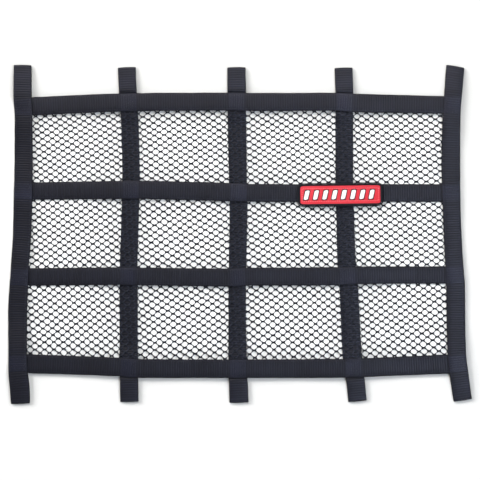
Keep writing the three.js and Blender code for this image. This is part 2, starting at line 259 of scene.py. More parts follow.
class Layout:
    """Where the straps cross, and how high each layer lies there and between."""

    crossing_rounds: int = 6

    def __init__(self, uprights: Sequence[Upright], crossbars: Sequence[Crossbar], layers: Layers) -> None:
        """Works out the crossings and the seats once.

        Args:
            uprights: The uprights, from left to right.
            crossbars: The crossbars, from top to bottom.
            layers: The cloth's thicknesses.
        """
        self.uprights = uprights
        self.crossbars = crossbars
        self.layers = layers
        self._crossings = {(u.name, c.name): self._cross(u, c) for u in uprights for c in crossbars}
        self._crossbar_seats = {c.name: self._seats_of_crossbar(c) for c in crossbars}
        self._side_seats = {u.name: self._seats_of_side(u) for u in uprights if u.lies is Lies.IN_FRONT}

    @staticmethod
    def _cross(upright: Upright, crossbar: Crossbar) -> tuple[float, float]:
        """The point in plan where two straps' middle lines cross.

        Args:
            upright: The upright.
            crossbar: The crossbar.

        Returns:
            The point's x and y.
        """
        y = crossbar.middle(upright.rows[0].middle)
        for _ in range(Layout.crossing_rounds):
            x = upright.middle(y)
            y = crossbar.middle(x)
        return x, y

    def crossing(self, upright: Upright, crossbar: Crossbar) -> tuple[float, float]:
        """The point in plan where an upright and a crossbar cross."""
        return self._crossings[upright.name, crossbar.name]

    def _seats_of_crossbar(self, crossbar: Crossbar) -> list[Seat]:
        """A crossbar's seats, one at each upright, from left to right.

        Args:
            crossbar: The crossbar.

        Returns:
            The seats.
        """
        layers = self.layers
        tucked = layers.strap if crossbar.outermost else 0.0
        return [
            Seat(
                self.crossing(upright, crossbar)[0],
                tucked + layers.net + (layers.strap if upright.lies is Lies.BEHIND else 0.0),
                layers.crossbar_sag,
            )
            for upright in self.uprights
        ]

    def _seats_of_side(self, upright: Upright) -> list[Seat]:
        """A side upright's seats, one at each crossbar, from bottom to top.

        Args:
            upright: The side upright.

        Returns:
            The seats.
        """
        layers = self.layers
        seats = [
            Seat(
                self.crossing(upright, crossbar)[1],
                layers.net + layers.strap * (2 if crossbar.outermost else 1),
                layers.side_end_sag if crossbar.outermost else layers.side_sag,
            )
            for crossbar in self.crossbars
        ]
        return sorted(seats, key=lambda seat: seat.at)

    def _hung(self, place: float, seats: list[Seat]) -> float:
        """The height of a strap that is held at its seats and hangs a little between them.

        Args:
            place: Distance along the strap's axis.
            seats: The seats in order of place.

        Returns:
            The underside's height.
        """
        half = self.layers.seat_half
        following = next((i for i, seat in enumerate(seats) if seat.at - half > place), None)
        if following is None:
            return seats[-1].height
        if following == 0 or place <= seats[following - 1].at + half:
            return seats[max(0, following - 1)].height
        start, end = seats[following - 1], seats[following]
        share = (place - start.at - half) / (end.at - start.at - 2 * half)
        sag = max(start.sag, end.sag)
        return mix(start.height, end.height, ease(share)) - sag * math.sin(math.pi * share) ** 2

    def crossbar_height(self, crossbar: Crossbar, x: float) -> float:
        """Height of a crossbar's underside."""
        return self._hung(x, self._crossbar_seats[crossbar.name])

    def upright_height(self, upright: Upright, y: float) -> float:
        """Height of an upright's underside between its loops.

        Args:
            upright: The upright.
            y: The place along it.

        Returns:
            The height.
        """
        if upright.lies is Lies.IN_FRONT:
            return self._hung(y, self._side_seats[upright.name])
        first = self.crossing(upright, self.crossbars[0])[1]
        last = self.crossing(upright, self.crossbars[-1])[1]
        return self.layers.strap * self.layers.nearness(max(0.0, min(first - y, y - last)))

    def net_height(self, x: float, y: float) -> float:
        """Height of the netting's underside at a point in plan.

        Args:
            x: The point's place across the net.
            y: The point's place up the net.

        Returns:
            The height.
        """
        layers = self.layers
        height = 0.0
        for upright in self.uprights:
            beside = layers.nearness(x - upright.middle(y))
            if beside > 0:
                if upright.lies is Lies.BEHIND:
                    lift = self.upright_height(upright, y) + layers.strap
                else:
                    lift = self._side_lift(upright, y)
                height = max(height, lift * beside)
        for crossbar in self.crossbars:
            beside = layers.nearness(y - crossbar.middle(x))
            if beside > 0:
                height = max(height, (self.crossbar_height(crossbar, x) - layers.net) * beside)
        return height

    def _side_lift(self, upright: Upright, y: float) -> float:
        """How far the netting is drawn up to a side upright between the crossbars."""
        nearest = min(abs(y - self.crossing(upright, crossbar)[1]) for crossbar in self.crossbars)
        return self.layers.side_lift * (1 - self.layers.nearness(nearest))

    def inside_panel(self, x: float, y: float, margin: float) -> bool:
        """Whether a point lies within the netting's panel.

        Args:
            x: The point's place across the net.
            y: The point's place up the net.
            margin: How far it may lie past the outer straps' middle lines.

        Returns:
            True if it lies within.
        """
        left, right = self.uprights[0].middle(y), self.uprights[-1].middle(y)
        top, bottom = self.crossbars[0].middle(x), self.crossbars[-1].middle(x)
        return left - margin < x < right + margin and bottom - margin < y < top + margin


class NodeTree:
    """A node tree, with short ways to add its nodes."""

    def __init__(self, tree: bpy.types.NodeTree) -> None:
        """Holds the tree."""
        self.tree = tree

    def add(self, kind: str, values: dict[Any, Any] | None = None, **settings: Any) -> Any:
        """Adds a node.

        Args:
            kind: The node's type.
            values: What each input takes: a socket, or a value.
            settings: The node's own properties.

        Returns:
            The node.
        """
        node = self.tree.nodes.new(kind)
        for key, value in settings.items():
            setattr(node, key, value)
        return self.fill(node, values or {})

    def fill(self, node: Any, values: dict[Any, Any]) -> Any:
        """Fills a node's inputs.

        Args:
            node: The node.
            values: What each input takes: a socket, or a value.

        Returns:
            The node.
        """
        for key, value in values.items():
            if isinstance(value, bpy.types.NodeSocket):
                self.tree.links.new(value, node.inputs[key])
            else:
                node.inputs[key].default_value = value
        return node

    def math(self, operation: str, *values: Any) -> Any:
        """A math node's output, for the values given."""
        return self.add("ShaderNodeMath", dict(enumerate(values)), operation=operation).outputs[0]

    def scaled(self, vector: Any, factor: Any) -> Any:
        """A vector, or a colour, times a factor."""
        return self.add("ShaderNodeVectorMath", {0: vector, "Scale": factor}, operation="SCALE").outputs[0]

    def axes(self, vector: Any) -> Any:
        """A vector's parts, as sockets named X, Y and Z."""
        return self.add("ShaderNodeSeparateXYZ", {0: vector}).outputs


class GeometryTree(NodeTree):
    """A geometry node tree with named inputs, and the modifier that runs it."""

    def __init__(self, name: str, inputs: dict[str, str]) -> None:
        """Makes the tree with a geometry in and out, and its named inputs.

        Args:
            name: The tree's name.
            inputs: Each named input's short type.
        """
        super().__init__(bpy.data.node_groups.new(name, "GeometryNodeTree"))
        face = self.tree.interface
        face.new_socket("Geometry", in_out="INPUT", socket_type="NodeSocketGeometry")
        self.sockets = {
            label: face.new_socket(label, in_out="INPUT", socket_type=f"NodeSocket{kind}").identifier
            for label, kind in inputs.items()
        }
        face.new_socket("Geometry", in_out="OUTPUT", socket_type="NodeSocketGeometry")
        self.inputs = self.add("NodeGroupInput").outputs
        self.output = self.add("NodeGroupOutput")

    def vector(self, operation: str, *values: Any) -> Any:
        """A vector math node's output, for the values given."""
        return self.add("ShaderNodeVectorMath", dict(enumerate(values)), operation=operation).outputs[0]

    def attribute(self, name: str, kind: str = "FLOAT") -> Any:
        """A named attribute's value."""
        return self.add("GeometryNodeInputNamedAttribute", {"Name": name}, data_type=kind).outputs[0]

    def shape(self, name: str) -> Any:
        """The geometry of the object that a named input holds."""
        return self.add("GeometryNodeObjectInfo", {"Object": self.inputs[name]}).outputs["Geometry"]

    def finish(self, geometry: Any, material: Any) -> None:
        """Ends the tree: instances made real, shaded smooth, and given their material.

        Args:
            geometry: The socket that holds the tree's result.
            material: The socket that holds its finish.
        """
        real = self.add("GeometryNodeRealizeInstances", {"Geometry": geometry})
        smooth = self.add("GeometryNodeSetShadeSmooth", {"Geometry": real.outputs[0]})
        dressed = self.add("GeometryNodeSetMaterial", {"Geometry": smooth.outputs[0], "Material": material})
        self.fill(self.output, {0: dressed.outputs[0]})

    def bake(self, piece: bpy.types.Object, values: dict[str, Any]) -> None:
        """Runs the tree on a piece once, and leaves its result as a plain mesh.

        Args:
            piece: The object that carries the tree's geometry in.
            values: The value of each named input.
        """
        modifier = piece.modifiers.new("build", "NODES")
        modifier.node_group = self.tree
        for label, value in values.items():
            modifier[self.sockets[label]] = value
        depsgraph = bpy.context.evaluated_depsgraph_get()
        baked = bpy.data.meshes.new_from_object(piece.evaluated_get(depsgraph), depsgraph=depsgraph)
        piece.modifiers.remove(modifier)
        piece.data = baked
        baked.name = piece.name


class MaterialTree(NodeTree):
    """A material's node tree, or a shader node group."""

    def place(self) -> Any:
        """The place in the object's own coordinates, which are the frame's."""
        return self.add("ShaderNodeTexCoord").outputs["Object"]

    def uv(self, name: str) -> Any:
        """The place on a UV map."""
        return self.add("ShaderNodeUVMap", uv_map=name).outputs["UV"]

    def blend(self, share: Any, first: Any, second: Any) -> Any:
        """A colour a share of the way from first to second, through the mix node's colour sockets."""
        return self.add("ShaderNodeMix", {0: share, 6: first, 7: second}, data_type="RGBA").outputs[2]

    def span(self, share: Any, low: Any, high: Any) -> Any:
        """A share from 0 to 1, turned into a number from low to high."""
        return self.add("ShaderNodeMapRange", {"Value": share, "To Min": low, "To Max": high}).outputs[0]

    def step(self, value: Any, start: float, end: float) -> Any:
        """A number from start to end, turned into a share from 0 to 1 and held there."""
        values = {"Value": value, "From Min": start, "From Max": end}
        return self.add("ShaderNodeMapRange", values).outputs[0]


def new_piece(name: str, mesh: bpy.types.Mesh) -> bpy.types.Object:
    """An object at the origin that holds a mesh.

    Args:
        name: The object's name.
        mesh: Its mesh.

    Returns:
        The object.
    """
    piece = bpy.data.objects.new(name, mesh)
    bpy.context.scene.collection.objects.link(piece)
    return piece


def discard(*helpers: bpy.types.Object) -> None:
    """Removes objects that only helped to build a piece."""
    for helper in helpers:
        bpy.data.objects.remove(helper, do_unlink=True)


def new_mesh(
    name: str, points: Iterable[Any], faces: Sequence[Any] = (), edges: Sequence[Any] = (),
) -> bpy.types.Mesh:
    """Makes a mesh.

    Args:
        name: Its name.
        points: The place of each of its points.
        faces: Each face's corners, as the numbers of its points.
        edges: Each loose edge's ends, as the numbers of its points.

    Returns:
        The mesh.
    """
    mesh = bpy.data.meshes.new(name)
    mesh.from_pydata([tuple(point) for point in points], edges, faces)
    return mesh


def add_uv(mesh: bpy.types.Mesh, name: str, places: Sequence[tuple[float, float]]) -> None:
    """Stores a place for each point of a mesh, as a UV map.

    Args:
        mesh: The mesh.
        name: The UV map's name.
        places: Each point's place.
    """
    layer = mesh.uv_layers.new(name=name)
    for loop in mesh.loops:
        layer.data[loop.index].uv = places[loop.vertex_index]


def add_numbers(mesh: bpy.types.Mesh, name: str, numbers: Sequence[float]) -> None:
    """Stores a number for each point of a mesh, as an attribute."""
    mesh.attributes.new(name, "FLOAT", "POINT").data.foreach_set("value", numbers)


def tube_faces(rings: int, sides: int, flipped: bool = False) -> list[tuple[int, ...]]:
    """The faces of a closed tube whose points are given ring by ring.

    Args:
        rings: How many rings it has.
        sides: How many points each ring has.
        flipped: True where the rings run the other way round.

    Returns:
        Each face's corners.
    """
    faces = []
    for ring in range(rings - 1):
        for side in range(sides):
            a, b = ring * sides + side, ring * sides + (side + 1) % sides
            faces.append((a, a + sides, b + sides, b))
    faces.append(tuple(range(sides)))
    faces.append(tuple(reversed(range((rings - 1) * sides, rings * sides))))
    return [(face[0], *face[:0:-1]) for face in faces] if flipped else faces


def shader_group(
    name: str, inputs: dict[str, str], outputs: dict[str, str],
) -> tuple[MaterialTree, Any, Any]:
    """Makes an empty shader node group.

    Args:
        name: The group's name.
        inputs: Each input's short type.
        outputs: Each output's short type.

    Returns:
        The group's tree, its input sockets, and its output node.
    """
    tree = bpy.data.node_groups.new(name, "ShaderNodeTree")
    for way, sockets in (("INPUT", inputs), ("OUTPUT", outputs)):
        for label, kind in sockets.items():
            tree.interface.new_socket(label, in_out=way, socket_type=f"NodeSocket{kind}")
    group = MaterialTree(tree)
    return group, group.add("NodeGroupInput").outputs, group.add("NodeGroupOutput")


@dataclass
class SharedEffects:
    """The shader node groups that several finishes use, and the sizes of their patterns."""

    yarn_low: float = 0.4
    patches_a_metre: float = 24.0
    patch_edge: tuple[float, float] = (0.35, 0.7)
    flecks_a_metre: float = 700.0
    fleck_edge: tuple[float, float] = (0.45, 0.75)

    def __post_init__(self) -> None:
        """Builds the groups."""
        self.yarn = self._yarn_relief()
        self.wear = self._worn_colour()

    def _yarn_relief(self) -> bpy.types.NodeTree:
        """Crossing yarns as a height from 0 to 1: fine lines along, broken up across.

        Returns:
            The group.
        """
        inputs = {"Vector": "Vector", "Along": "Float", "Across": "Float"}
        group, given, output = shader_group("yarn relief", inputs, {"Height": "Float"})
        parts = group.axes(given["Vector"])
        along = group.math("DIVIDE", parts["X"], given["Along"])
        across = group.math("DIVIDE", parts["Y"], given["Across"])
        odd = group.math("MODULO", group.math("FLOOR", across), 2.0)
        offset = group.math("MULTIPLY", odd, 0.5)
        warp = group.math("ABSOLUTE", group.math("SINE", group.math("MULTIPLY", across, math.pi)))
        step = group.math("MULTIPLY", group.math("ADD", along, offset), math.pi)
        float_over = group.math("ABSOLUTE", group.math("SINE", step))
        crown = group.math("ADD", group.math("MULTIPLY", float_over, 1 - self.yarn_low), self.yarn_low)
        group.fill(output, {"Height": group.math("MULTIPLY", group.math("SQRT", warp), crown)})
        return group.tree

    def _worn_colour(self) -> bpy.types.NodeTree:
        """A colour with faint patches and flecks, and the share of wear that made them.

        Returns:
            The group.
        """
        inputs = {
            "Vector": "Vector", "Colour": "Color", "Worn": "Color", "Patches": "Float", "Flecks": "Float",
        }
        group, given, output = shader_group("worn colour", inputs, {"Colour": "Color", "Wear": "Float"})
        shares = []
        for name, scale, detail, edge in (
            ("Patches", self.patches_a_metre, 3.0, self.patch_edge),
            ("Flecks", self.flecks_a_metre, 2.0, self.fleck_edge),
        ):
            values = {"Vector": given["Vector"], "Scale": scale, "Detail": detail}
            pattern = group.add("ShaderNodeTexNoise", values).outputs[0]
            shares.append(group.math("MULTIPLY", group.step(pattern, *edge), given[name]))
        wear = group.math("ADD", *shares)
        group.fill(output, {"Colour": group.blend(wear, given["Colour"], given["Worn"]), "Wear": wear})
        return group.tree


@dataclass(frozen=True)
class ClothFinish:
    """A cloth's colours, roughness, sheen and yarn, and how its material is built."""

    name: str
    colour: tuple[float, float, float]
    worn: tuple[float, float, float]
    roughness: float
    sheen: float
    yarn_along: float
    yarn_across: float
    relief: float
    patches: float = 0.3
    flecks: float = 0.2
    specular: float = 0.15
    gleam: tuple[float, float, float] = (0.85, 0.9, 1.0)
    uv: str | None = "cloth"
    # The yarn's tone paints shade between the yarns and a highlight on their crowns, from the relief's
    # height.
    yarn_shading: tuple[float, float] = (0.55, 1.35)
    dull: float = 0.15
    sheen_roughness: float = 0.5

    def _worn(self, tree: MaterialTree, effects: SharedEffects) -> Any:
        """The worn colour's group, placed in a material with this finish's values.

        Args:
            tree: The material's tree.
            effects: The shared groups.

        Returns:
            The group's node.
        """
        return tree.add("ShaderNodeGroup", {
            "Vector": tree.place(),
            "Colour": (*self.colour, 1),
            "Worn": (*self.worn, 1),
            "Patches": self.patches,
            "Flecks": self.flecks,
        }, node_tree=effects.wear)

    def _yarn(self, tree: MaterialTree, effects: SharedEffects) -> Any:
        """The yarn relief's height, placed in a material with this finish's values.

        Args:
            tree: The material's tree.
            effects: The shared groups.

        Returns:
            The height, as a socket.
        """
        return tree.add("ShaderNodeGroup", {
            "Vector": tree.uv(self.uv) if self.uv else tree.place(),
            "Along": self.yarn_along,
            "Across": self.yarn_across,
        }, node_tree=effects.yarn).outputs["Height"]

    def _tone(self, tree: MaterialTree, yarn: Any, worn: Any) -> tuple[Any, Any]:
        """How light the cloth is from place to place, with painted shade between its yarns, and where it is
        dull.

        Args:
            tree: The material's tree.
            yarn: The yarn relief's height.
            worn: The worn colour's node.

        Returns:
            The factor for the colour, and the share of dullness, as sockets.
        """
        return tree.span(yarn, *self.yarn_shading), worn.outputs["Wear"]

    def build(self, effects: SharedEffects) -> bpy.types.Material:
        """Builds the material.

        Args:
            effects: The shared node groups.

        Returns:
            The material.
        """
        material = bpy.data.materials.new(self.name)
        material.use_nodes = True
        tree = MaterialTree(material.node_tree)
        worn = self._worn(tree, effects)
        yarn = self._yarn(tree, effects)
        tone, dullness = self._tone(tree, yarn, worn)
        bump = tree.add("ShaderNodeBump", {"Height": yarn, "Distance": self.relief, "Strength": 1.0})
        tree.fill(tree.tree.nodes["Principled BSDF"], {
            "Base Color": tree.scaled(worn.outputs["Colour"], tone),
            "Roughness": tree.math("ADD", tree.math("MULTIPLY", dullness, self.dull), self.roughness),
            "Normal": bump.outputs[0],
            "Specular IOR Level": self.specular,
            "Specular Tint": (*self.gleam, 1),
            "Sheen Weight": self.sheen,
            "Sheen Roughness": self.sheen_roughness,
        })
        return material


@dataclass(frozen=True)
class WebbingFinish(ClothFinish):
    """Webbing's finish: painted shade in grooves and along selvages, painted highlight on ribs and where it
    is sewn smooth.
    """

    rib_pitch: float = RIB_PITCH
    rib_shape: float = 0.8
    flattened: float = 0.35
    # groove and ridge paint shade into the grooves between ribs and a highlight onto the ribs' tops.
    groove: float = 0.2
    ridge: float = 1.35
    uneven: float = 0.2
    # selvage paints shade along the selvages: the cloth is darker there.
    selvage: float = 0.3
    selvage_shade_edge: tuple[float, float] = (0.88, 0.97)
    # sewn paints a highlight: pressed cloth, at the crossings' sewing and the loops' worn folds, is painted
    # paler.
    sewn: float = 2.4
    yarn_shading: tuple[float, float] = (0.7, 1.2)
    dull: float = 0.6

    def _rib(self, tree: MaterialTree, along: Any, pressed: Any) -> tuple[Any, Any]:
        """The ribs' level and their tone.

        Args:
            tree: The material's tree.
            along: Distance along the strap.
            pressed: How flat the cloth is pressed.

        Returns:
            The level, 0 in a groove and 1 on a rib, and each rib's own tone.
        """
        turn = tree.math("MULTIPLY", along, math.pi / self.rib_pitch)
        rib = tree.math("POWER", tree.math("ABSOLUTE", tree.math("SINE", turn)), self.rib_shape)
        flattened = tree.math("MULTIPLY", pressed, self.flattened)
        ribbed = tree.math("MULTIPLY", rib, tree.math("SUBTRACT", 1.0, flattened))
        level = tree.math("ADD", ribbed, flattened)
        number = tree.math("FLOOR", tree.math("DIVIDE", along, self.rib_pitch))
        chance = tree.add("ShaderNodeTexWhiteNoise", {"W": number}, noise_dimensions="1D").outputs["Value"]
        return level, tree.span(chance, 1 - self.uneven, 1 + self.uneven)

    def _tone(self, tree: MaterialTree, yarn: Any, worn: Any) -> tuple[Any, Any]:
        """How light the webbing is: painted shade in the grooves, between the yarns and along the selvages,
        and painted highlight on the ribs' tops and where it is sewn.

        Args:
            tree: The material's tree.
            yarn: The yarn relief's height.
            worn: The worn colour's node.

        Returns:
            The factor for the colour, and the share of dullness, as sockets.
        """
        along = tree.axes(tree.uv("cloth"))["X"]
        edge, pressed = tree.axes(tree.uv("wear"))[:2]
        level, tone = self._rib(tree, along, pressed)
        side = tree.step(edge, *self.selvage_shade_edge)
        # Painted light and shade: grooves, low yarns and selvages darker; rib tops and pressed cloth
        # lighter.
        for share, low, high in (
            (level, self.groove, self.ridge),
            (yarn, *self.yarn_shading),
            (side, 1.0, self.selvage),
            (pressed, 1.0, self.sewn),
        ):
            tone = tree.math("MULTIPLY", tone, tree.span(share, low, high))
        return tone, tree.math("MAXIMUM", tree.math("SUBTRACT", 1.0, level), side)


@dataclass(frozen=True)
class KnitFinish(ClothFinish):
    """The netting's finish: a painted highlight on its strands, painted shade at its dark knots."""

    # strand and knot paint the strands lighter as a highlight and the knots darker as shade.
    strand: float = 1.5
    knot: float = 0.25
    yarn_shading: tuple[float, float] = (0.6, 1.3)
    dull: float = 0.2

    def _tone(self, tree: MaterialTree, yarn: Any, worn: Any) -> tuple[Any, Any]:
        """How light the knit is: a painted highlight along its strands, painted shade and dullness at its
        knots.

        Args:
            tree: The material's tree.
            yarn: The yarn relief's height.
            worn: The worn colour's node.

        Returns:
            The factor for the colour, and the share of dullness, as sockets.
        """
        knot = tree.add("ShaderNodeAttribute", attribute_name="knot").outputs["Fac"]
        tone = tree.span(knot, self.strand, self.knot)
        return tree.math("MULTIPLY", tone, tree.span(yarn, *self.yarn_shading)), knot


class Finishes:
    """Every material of the net."""

    def __init__(self, effects: SharedEffects) -> None:
        """Builds the materials.

        Args:
            effects: The shared node groups.
        """
        black = {"roughness": 0.3, "sheen": 0.0, "specular": 0.3, "gleam": (0.84, 0.84, 1.0)}
        fine = {"yarn_along": 0.35 * MM, "yarn_across": 0.2 * MM, "relief": 0.03 * MM, "uv": None}
        self.webbing = WebbingFinish(
            "webbing", (0.0014, 0.0016, 0.0033), (0.0038, 0.0042, 0.0085), **black,
            yarn_along=1.625 * MM, yarn_across=0.9 * MM, relief=0.05 * MM, patches=0.6, flecks=0.3,
        ).build(effects)
        self.netting = KnitFinish(
            "netting", (0.008, 0.009, 0.017), (0.014, 0.0155, 0.029),
            roughness=0.42, sheen=0.0, specular=0.3,
            gleam=(0.74, 0.84, 1.0), yarn_along=0.6 * MM, yarn_across=0.3 * MM, relief=0.03 * MM, uv=None,
        ).build(effects)
        self.thread = ClothFinish(
            "thread", (0.003, 0.0033, 0.006), (0.007, 0.0075, 0.012), **black, **fine,
        ).build(effects)
        self.label = ClothFinish(
            "label", (0.455, 0.021, 0.032), (0.505, 0.045, 0.06), roughness=0.55, sheen=0.05,
            yarn_along=2.4 * MM, yarn_across=0.35 * MM, relief=0.05 * MM, patches=0.5,
        ).build(effects)
        self.label_edge = ClothFinish(
            "label edge", (0.006, 0.006, 0.009), (0.014, 0.013, 0.017), roughness=0.5, sheen=0.0, **fine,
        ).build(effects)
        self.label_thread = ClothFinish(
            "label thread", (0.7, 0.17, 0.2), (0.75, 0.3, 0.33), roughness=0.45, sheen=0.1, **fine,
        ).build(effects)
        self.label_bars = ClothFinish(
            "label bars", (0.72, 0.72, 0.73), (0.62, 0.62, 0.65), roughness=0.45, sheen=0.2,
            yarn_along=1.8 * MM, yarn_across=0.3 * MM, relief=0.06 * MM,
        ).build(effects)


@dataclass
class Station:
    """One cross-section of a band: its middle, axes and width.

    Pressed is how flat sewing has made it, and drawn_in is how far its selvages are pulled in.
    """

    centre: Vector
    across: Vector
    up: Vector
    width: float
    pressed: float = 0.0
    drawn_in: Vector = field(default_factory=lambda: Vector((0, 0, 0)))


@dataclass
class Webbing:
    """Ribbed webbing swept along stations, with rounded selvages."""

    thickness: float = LAYERS.webbing
    rib_pitch: float = RIB_PITCH
    rib_height: float = 0.34 * MM
    samples_per_rib: int = 6
    selvage: float = 0.9 * MM
    columns: tuple[float, ...] = (-0.92, -0.3, 0.3, 0.92)
    shoulder_in: float = 0.3
    shoulder_up: float = 0.75
    waviness: float = 0.25 * MM
    waves_a_metre: float = 60
    wave_lanes: tuple[float, float] = (3.0, 9.0)
    ridge_shape: float = 0.5
    flattened: float = 0.5

    @property
    def step(self) -> float:
        """Distance between cross-sections."""
        return self.rib_pitch / self.samples_per_rib

    def ring(self, station: Station, seed: float) -> list[tuple[Vector, float]]:
        """The points round one cross-section.

        Args:
            station: The cross-section's place.
            seed: Where the selvages' waviness is read.

        Returns:
            Each point with its distance across the strap.
        """
        half = station.width / 2
        flat = half - self.selvage
        rise = self.thickness / 2
        turn = seed * self.waves_a_metre
        wave = [self.waviness * noise.noise(Vector((turn, lane, 0.5))) for lane in self.wave_lanes]
        top = [(share * flat / self.columns[-1], rise) for share in reversed(self.columns)]
        shoulder, drop = half - self.selvage * self.shoulder_in, rise * self.shoulder_up
        side = [(shoulder, drop), (half, 0.0), (shoulder, -drop)]
        other_side = [(-x, z) for x, z in side]
        under = [(x, -z) for x, z in reversed(top)]
        outline = side[:1] + top + other_side + under + side[:0:-1]
        points = []
        for x, z in outline:
            share = abs(x) / half
            moved = x + (wave[0] if x > 0 else wave[1]) * share**4
            pulled = station.drawn_in * share**6
            points.append((station.centre + station.across * moved + station.up * z + pulled, x))
        return points

    def mesh(self, name: str, stations: Sequence[Station]) -> bpy.types.Mesh:
        """A closed band through the stations.

        Args:
            name: The mesh's name.
            stations: Cross-sections one step apart.

        Returns:
            The mesh, with its places on the cloth, a wear map of how near each point is to a selvage and how
            flat it is pressed (for the painted selvage shade and the painted highlight), its rib count and
            where it is pressed.
        """
        points, cloth, wear, ribs, pressed = [], [], [], [], []
        for index, station in enumerate(stations):
            ring = self.ring(station, index * self.step)
            for point, across in ring:
                points.append(point)
                cloth.append((index * self.step, across))
                wear.append((2 * abs(across) / station.width, station.pressed))
                ribs.append(index / self.samples_per_rib)
                pressed.append(station.pressed)
        mesh = new_mesh(name, points, tube_faces(len(stations), len(points) // len(stations)))
        add_uv(mesh, "cloth", cloth)
        add_uv(mesh, "wear", wear)
        add_numbers(mesh, "ribs", ribs)
        add_numbers(mesh, "pressed", pressed)
        return mesh

    def rib_tree(self) -> GeometryTree:
        """The tree that raises the ribs on a band.

        Returns:
            The tree.
        """
        tree = GeometryTree("webbing ribs", {"Rib Height": "Float", "Finish": "Material"})
        phase = tree.math("MULTIPLY", tree.attribute("ribs"), math.pi)
        ridge = tree.math("POWER", tree.math("ABSOLUTE", tree.math("SINE", phase)), self.ridge_shape)
        flat = tree.math("MULTIPLY", tree.attribute("pressed"), -self.flattened)
        height = tree.math("MULTIPLY", tree.math("ADD", flat, 1.0), tree.inputs["Rib Height"])
        lift = tree.math("MULTIPLY", tree.math("SUBTRACT", ridge, 1.0), height)
        offset = tree.scaled(tree.add("GeometryNodeInputNormal").outputs[0], lift)
        raised = tree.add("GeometryNodeSetPosition", {"Geometry": tree.inputs["Geometry"], "Offset": offset})
        tree.finish(raised.outputs[0], tree.inputs["Finish"])
        return tree


def resample(points: Sequence[tuple[Vector, Any]], step: float) -> list[tuple[Vector, Any]]:
    """Evenly spaced points along a polyline, each with the numbers that ride on it.

    Args:
        points: The polyline, each point with a tuple of numbers.
        step: Distance between the new points.

    Returns:
        The new points, with their numbers mixed from their neighbours.
    """
    lengths = [0.0]
    for (before, _), (after, _) in zip(points, points[1:]):
        lengths.append(lengths[-1] + (after - before).length)
    count = max(2, round(lengths[-1] / step))
    result = []
    index = 0
    for number in range(count + 1):
        target = lengths[-1] * number / count
        while index < len(points) - 2 and lengths[index + 1] < target:
            index += 1
        span = lengths[index + 1] - lengths[index] or 1.0
        share = (target - lengths[index]) / span
        (start, first), (end, second) = points[index], points[index + 1]
        result.append((start.lerp(end, share), tuple(mix(a, b, share) for a, b in zip(first, second))))
    return result


